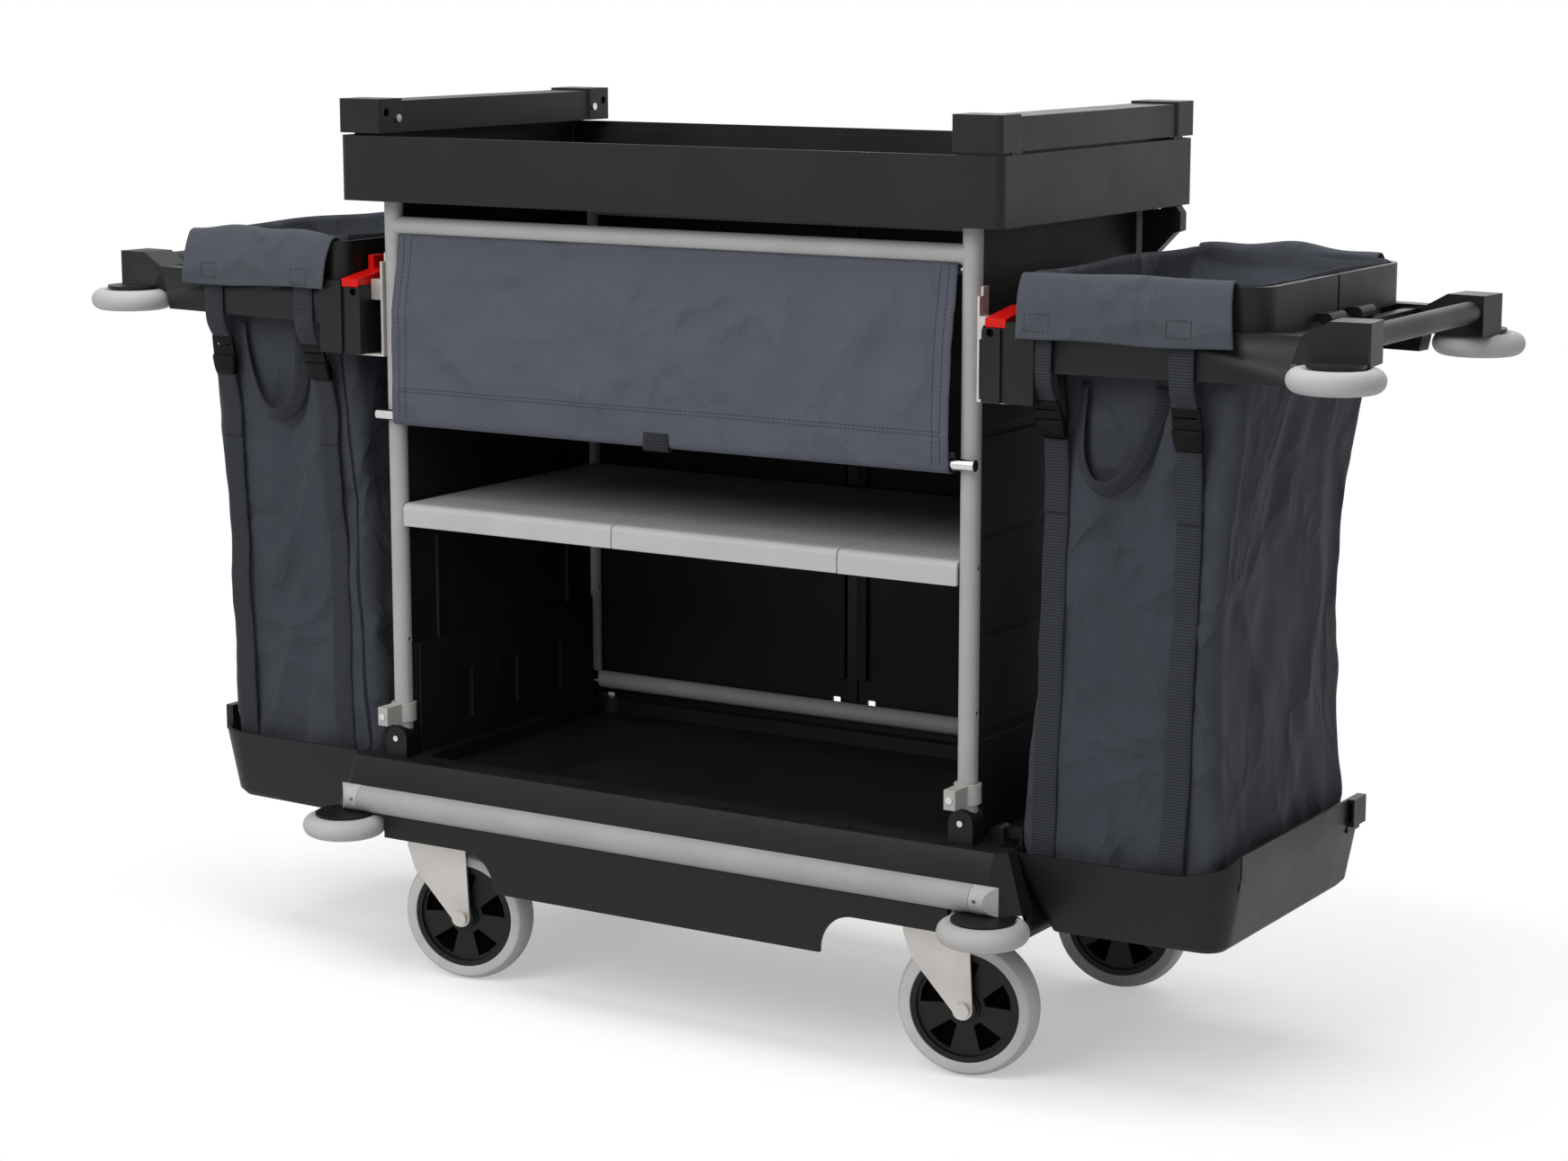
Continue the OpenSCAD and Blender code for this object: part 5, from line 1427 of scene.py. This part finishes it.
@dataclass
class BagStraps:
    """Webbing, buckles and carrying loops of one bag."""

    bag: Bag
    width: float = 28.0
    gauge: float = 2.2
    loop_x: float = 551.0
    loop_half: float = 46.0
    loop_low: float = 664.0
    loop_top: float = 772.0
    seam_low: float = 232.0
    drift: float = 12.0
    loop_width: float = 20.0
    clear: float = 0.5

    # a strap under the flap: Y from the arm's face, and height
    HANGER = ((5.2, 838.0), (2.2, 818.0), (2.2, 786.0), (-0.8, 770.0), (-11.8, 752.0))
    # slices of the buckle: place along it, half width past the webbing's, half thickness
    LADDER = ((-4, 1.5, 3.2), (6, 2.0, 3.6))
    PRONGS = ((8, -1.0, 2.6), (15, 2.4, 3.2), (21, 2.2, 3.4))
    SOCKET = ((20, 2.6, 5.2), (23, 3.0, 5.8), (34, 2.0, 5.8), (40, 1.0, 5.2), (44, 0.0, 4.0))
    # slices of the two rails beside the ladder: place, half width, half thickness
    RAIL = ((-2, 2.2, 2.2), (21, 2.2, 2.6))
    # outline of a slice, as shares of its half width and half thickness
    SLICE = ((-1, -0.6), (-0.9, -1), (0.9, -1), (1, -0.6), (1, 0.6), (0.9, 1), (-0.9, 1), (-1, 0.6))
    BUCKLE_EDGE = 0.8
    # sewn webbing below the buckle: height, and how far it stands off the bag
    SEWN_TOP = ((712.0, 9.0), (700.0, 6.0), (684.0, 2.5), (664.0, 0.0), (632.0, 0.0))

    def build(self) -> None:
        """Make the straps of both faces as two pieces: what hangs on the arm, and what is sewn to the bag."""
        word = self.bag.side.word
        upper: list[bpy.types.Object] = []
        buckles: list[bpy.types.Object] = []
        sewn: list[bpy.types.Object] = []
        for face in Face:
            for x in self.bag.sewn_x:
                upper.append(self.make_upper(face, x))
                buckles += self.make_buckle(face, x)
                sewn += self.make_sewn(face, x)
            sewn.append(self.make_loop(face))
        hang = join(f"bag_hangers_{word}", upper)
        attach(hang, f"frame_{word}")
        clip = join(f"bag_buckles_{word}", buckles)
        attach(clip, f"frame_{word}")
        strap = join(f"bag_webbing_{word}", sewn)
        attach(strap, f"frame_{word}")
        self.bag.squash(strap)
        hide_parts(f"bag_straps_{word}")
        LOG.info("made the %s straps", word)

    def face_y(self, x: float, z: float, face: Face) -> float:
        """Distance of the bag's long face from the middle line, with room for the webbing."""
        return self.bag.reach_y(x, z, face, self.width / 2) + self.gauge / 2 + self.clear

    def strap_points(self, x: float, face: Face) -> list[Point]:
        """Middle line of a strap from under the flap to the lower end of its buckle.

        Args:
            x: middle of the strap.
            face: front or rear.

        Returns:
            Points of the line in millimetres.
        """
        arm = self.bag.arm_reach(x - self.width / 2)
        return [(x, arm + y, z) for y, z in self.HANGER] + [(x, self.face_y(x, 704, face) + 7, 706)]

    def make_upper(self, face: Face, x: float) -> bpy.types.Object:
        """Webbing from the flap to the buckle."""
        path = smooth_path(self.strap_points(x, face)[:-1], 30)
        return self.make_band(f"hanger_{face.word}_{x:.0f}", face, path, self.width)

    def make_band(self, name: str, face: Face, path: np.ndarray, width: float,
                  across: Callable[[int], Vector] = level_width) -> bpy.types.Object:
        """Make webbing on one face along points of the right-hand bag, in millimetres."""
        place = self.bag.place(path * (1, face.value, 1))
        return band(name, place, width * MM, self.gauge * MM, Finish.WEBBING, across)

    def make_buckle(self, face: Face, x: float) -> list[bpy.types.Object]:
        """Make a side release buckle: socket, prongs and the bars the webbing runs round.

        Args:
            face: front or rear.
            x: middle of the strap.

        Returns:
            The pieces of the buckle.
        """
        a, b = (np.array(p) for p in self.strap_points(x, face)[-2:])
        along = (b - a) / np.linalg.norm(b - a)
        out = np.array((0, -along[2], along[1]))
        out = out if out[1] > 0 else -out
        half, sides = self.width / 2, len(self.SLICE)
        # slices, width that they add to, and place beside the middle
        parts = (("ladder", self.LADDER, half, 0.0), ("prongs", self.PRONGS, half, 0.0),
                 ("socket", self.SOCKET, half, 0.0), ("rail_in", self.RAIL, 0.0, -half),
                 ("rail_out", self.RAIL, 0.0, half))
        made = []
        for label, slices, base, aside in parts:
            points: list[np.ndarray] = []
            for s, w, g in slices:
                middle = a + along * s + np.array((aside, 0, 0))
                points += [middle + np.array((u * (base + w), 0, 0)) + out * (v * g) for u, v in self.SLICE]
            place = self.bag.place(np.array(points) * (1, face.value, 1))
            obj = make_object(f"{label}_{face.word}_{x:.0f}", place, tube_faces(sides, len(slices)),
                              Finish.BUCKLE)
            fix_normals(obj)
            edge = obj.modifiers.new("edge", "BEVEL")
            edge.width, edge.segments = self.BUCKLE_EDGE * MM, 2
            edge.limit_method, edge.angle_limit = "ANGLE", math.radians(30)
            made.append(bake_modifiers(obj))
        return made

    def make_sewn(self, face: Face, x: float) -> list[bpy.types.Object]:
        """Make the webbing from the buckle down the bag's long face, doubled under the buckle.

        Args:
            face: front or rear.
            x: middle of the strap.

        Returns:
            The long band and the doubled end.
        """
        levels = self.SEWN_TOP + tuple((z, 0.0) for z in np.linspace(606, self.seam_low, 16))
        points = []
        for z, stand in levels:
            lean = x - self.drift * (712 - z) / 440
            points.append((lean, self.face_y(lean, z, face) + stand, z))
        doubled = [(a, b + 1.6, c) for a, b, c in points[:len(self.SEWN_TOP)]]
        runs = (("webbing", smooth_path(points, 90)), ("webbing_end", smooth_path(doubled, 24)))
        return [self.make_band(f"{label}_{face.word}_{x:.0f}", face, run, self.width) for label, run in runs]

    def make_loop(self, face: Face) -> bpy.types.Object:
        """Make the carrying loop that hangs slack between the two straps.

        Args:
            face: front or rear.

        Returns:
            The loop.
        """
        y, w = self.face_y(self.loop_x, 700, face), self.loop_half
        x, low, top = self.loop_x, self.loop_low, self.loop_top
        points = [(x - w + 2, y + 1, top), (x - w, y + 5, top - 50), (x - w * 0.93, y + 9, low + 30),
                  (x - w * 0.66, y + 12, low + 6), (x - w * 0.2, y + 13, low),
                  (x + w * 0.3, y + 11, low + 14), (x + w * 0.72, y + 7, low + 50),
                  (x + w * 0.98, y + 3, top - 22), (x + w + 2, y + 1, top)]
        path = smooth_path(points, 60)

        def across(i: int) -> Vector:
            """Turn the loop's width half flat on the bag and half edge on.

            Args:
                i: number of the point on the loop.

            Returns:
                Direction of the width there.
            """
            d = Vector(path[min(i + 1, len(path) - 1)] - path[max(i - 1, 0)]).normalized()
            flat = d.cross(Vector((0, 1, 0))).normalized()
            turned = (flat * 0.75 + Vector((0, 0.66, 0))).normalized()
            return Vector((turned.x * self.bag.side.value, turned.y * face.value, turned.z)).normalized()

        return self.make_band(f"loop_{face.word}", face, path, self.loop_width, across)


@dataclass
class Studio:
    """Pale floor, white surround and soft lamps."""

    floor_half: float = 30.0
    white_from: float = 1.0
    white_to: float = 1.3
    glow: float = 0.42
    ambient: float = 0.3
    speck_mm: float = 25.0

    # name, place, point it faces, side of its panel in metres, and watts
    LAMPS = (("key", (-0.3, -3.1, 2.8), (0.0, 0.0, 0.5), 2.2, 64),
             ("top", (0.1, 0.0, 3.3), (0.0, 0.0, 0.6), 3.0, 58),
             ("rear", (-0.6, 3.2, 2.3), (0.0, 0.0, 0.6), 2.6, 20),
             ("side", (3.2, 2.2, 1.5), (0.4, 0.0, 0.6), 2.4, 6))

    def build(self) -> None:
        """Make the floor, the world and the lamps."""
        self.build_floor()
        self.build_world()
        for lamp in self.LAMPS:
            self.hang_lamp(*lamp)

    def build_floor(self) -> None:
        """Make a floor that is white to the eye and keeps the cart's shadow."""
        h = self.floor_half
        material, tree = new_tree("painted studio floor, white")
        path = add_node(tree, "ShaderNodeLightPath")
        seen = add_node(tree, "ShaderNodeMath",
                        {0: path.outputs["Is Camera Ray"], 1: path.outputs["Is Glossy Ray"]},
                        operation="MAXIMUM")
        seen = add_node(tree, "ShaderNodeMath", {0: seen.outputs[0], 1: path.outputs["Is Transmission Ray"]},
                        operation="MAXIMUM")
        where = add_node(tree, "ShaderNodeTexCoord").outputs["Object"]
        oval = add_node(tree, "ShaderNodeMapping", {"Vector": where, "Location": (-0.09, -0.55, 0.0),
                                                    "Scale": (0.9, 2.2, 1.0)})
        away = add_node(tree, "ShaderNodeVectorMath", {0: oval.outputs[0]}, operation="LENGTH")
        fade = add_node(tree, "ShaderNodeMapRange",
                        {"Value": away.outputs["Value"], "From Min": self.white_from,
                         "From Max": self.white_to}, interpolation_type="SMOOTHSTEP")
        speck = add_node(tree, "ShaderNodeTexNoise",
                         {"Vector": where, "Scale": 1 / (self.speck_mm * MM), "Detail": 2.0})
        tone = add_node(tree, "ShaderNodeMix", {0: speck.outputs["Fac"], 6: hex_linear("#dcdcde"),
                                                7: hex_linear("#e0e0e1")}, data_type="RGBA")
        plain = add_node(tree, "ShaderNodeBsdfDiffuse", {"Color": tone.outputs[2]})
        glow = add_node(tree, "ShaderNodeEmission", {"Color": (1, 1, 1, 1), "Strength": self.glow})
        lit = add_node(tree, "ShaderNodeAddShader", {0: plain.outputs[0], 1: glow.outputs[0]})
        white = add_node(tree, "ShaderNodeEmission", {"Color": (1, 1, 1, 1), "Strength": 1.0})
        near = add_node(tree, "ShaderNodeMixShader",
                        {0: fade.outputs["Result"], 1: lit.outputs[0], 2: white.outputs[0]})
        both = add_node(tree, "ShaderNodeMixShader",
                        {0: seen.outputs[0], 1: plain.outputs[0], 2: near.outputs[0]})
        add_node(tree, "ShaderNodeOutputMaterial", {"Surface": both.outputs[0]})
        mesh = bpy.data.meshes.new("floor")
        mesh.from_pydata([(-h, -h, 0), (h, -h, 0), (h, h, 0), (-h, h, 0)], [], [(0, 1, 2, 3)])
        mesh.materials.append(material)
        link_object("floor", mesh)

    def build_world(self) -> None:
        """Make a surround that is white to the eye and lights the cart softly."""
        world = bpy.data.worlds.new("white surround")
        bpy.context.scene.world = world
        world.use_nodes = True
        tree = world.node_tree
        tree.nodes.clear()
        path = add_node(tree, "ShaderNodeLightPath")
        light = add_node(tree, "ShaderNodeBackground", {"Color": (1, 1, 1, 1), "Strength": self.ambient})
        white = add_node(tree, "ShaderNodeBackground", {"Color": (1, 1, 1, 1), "Strength": 1.0})
        seen = add_node(tree, "ShaderNodeMath",
                        {0: path.outputs["Is Camera Ray"], 1: path.outputs["Is Glossy Ray"]},
                        operation="MAXIMUM")
        both = add_node(tree, "ShaderNodeMixShader",
                        {0: seen.outputs[0], 1: light.outputs[0], 2: white.outputs[0]})
        add_node(tree, "ShaderNodeOutputWorld", {"Surface": both.outputs[0]})

    def hang_lamp(self, name: str, place: Point, target: Point, size: float, power: float) -> None:
        """Hang a square soft lamp.

        Args:
            name: name of the lamp.
            place: where it hangs, in metres.
            target: the point it faces.
            size: side of its panel.
            power: watts.
        """
        data = bpy.data.lights.new(name, "AREA")
        data.size, data.energy = size, power
        obj = link_object(name, data)
        obj.location = place
        obj.rotation_euler = (Vector(target) - Vector(place)).to_track_quat("-Z", "Y").to_euler()


@dataclass
class PhotoCamera:
    """Camera at the photograph's place."""

    place_mm: Point = (2058.996, -3267.707, 1193.090)
    turn_deg: float = 31.854424
    down_deg: float = 10.379875
    focal_px: float = 3706.886
    image_px: int = 1743
    sensor_mm: float = 36.0

    def build(self) -> None:
        """Make the camera and look through it."""
        data = bpy.data.cameras.new("camera")
        data.sensor_fit, data.sensor_width = "HORIZONTAL", self.sensor_mm
        data.lens = self.sensor_mm * self.focal_px / self.image_px
        data.clip_end = 200
        obj = link_object("camera", data)
        obj.location = Vector(self.place_mm) * MM
        obj.rotation_euler = (math.radians(90 - self.down_deg), 0, math.radians(self.turn_deg))
        bpy.context.scene.camera = obj


def plain(box: Iterable[Iterable[float]]) -> list[list[float]]:
    """Write a box as plain lists of numbers."""
    return [[float(c) for c in corner] for corner in box]


def main() -> None:
    """Build the studio and dress the cart."""
    logging.basicConfig(level=logging.INFO, format="%(message)s")
    bpy.context.scene.view_settings.view_transform = "Standard"
    PhotoCamera().build()
    Studio().build()
    hard = HardParts()
    hard.dress()
    Deck().build(hard)
    for corner in Corner:
        HubWindows(corner).build()
    DoorGapShade().build(hard)
    for side in Side:
        BinShell(side).build(hard)
    Blind().build()
    # the photograph shows each bag draped in its own way
    left = Bag(Side.LEFT, front_hump=5.0, flap_lean=0.02, sewn_x=(502.0, 655.0))
    right = Bag(Side.RIGHT, flap_x=(454.0, 678.0), flap_rise=2.0, tuck=11.0)
    for bag, straps in ((left, BagStraps(left, loop_x=586.0)), (right, BagStraps(right))):
        bag.build()
        straps.build()


if __name__ == "__main__":
    main()
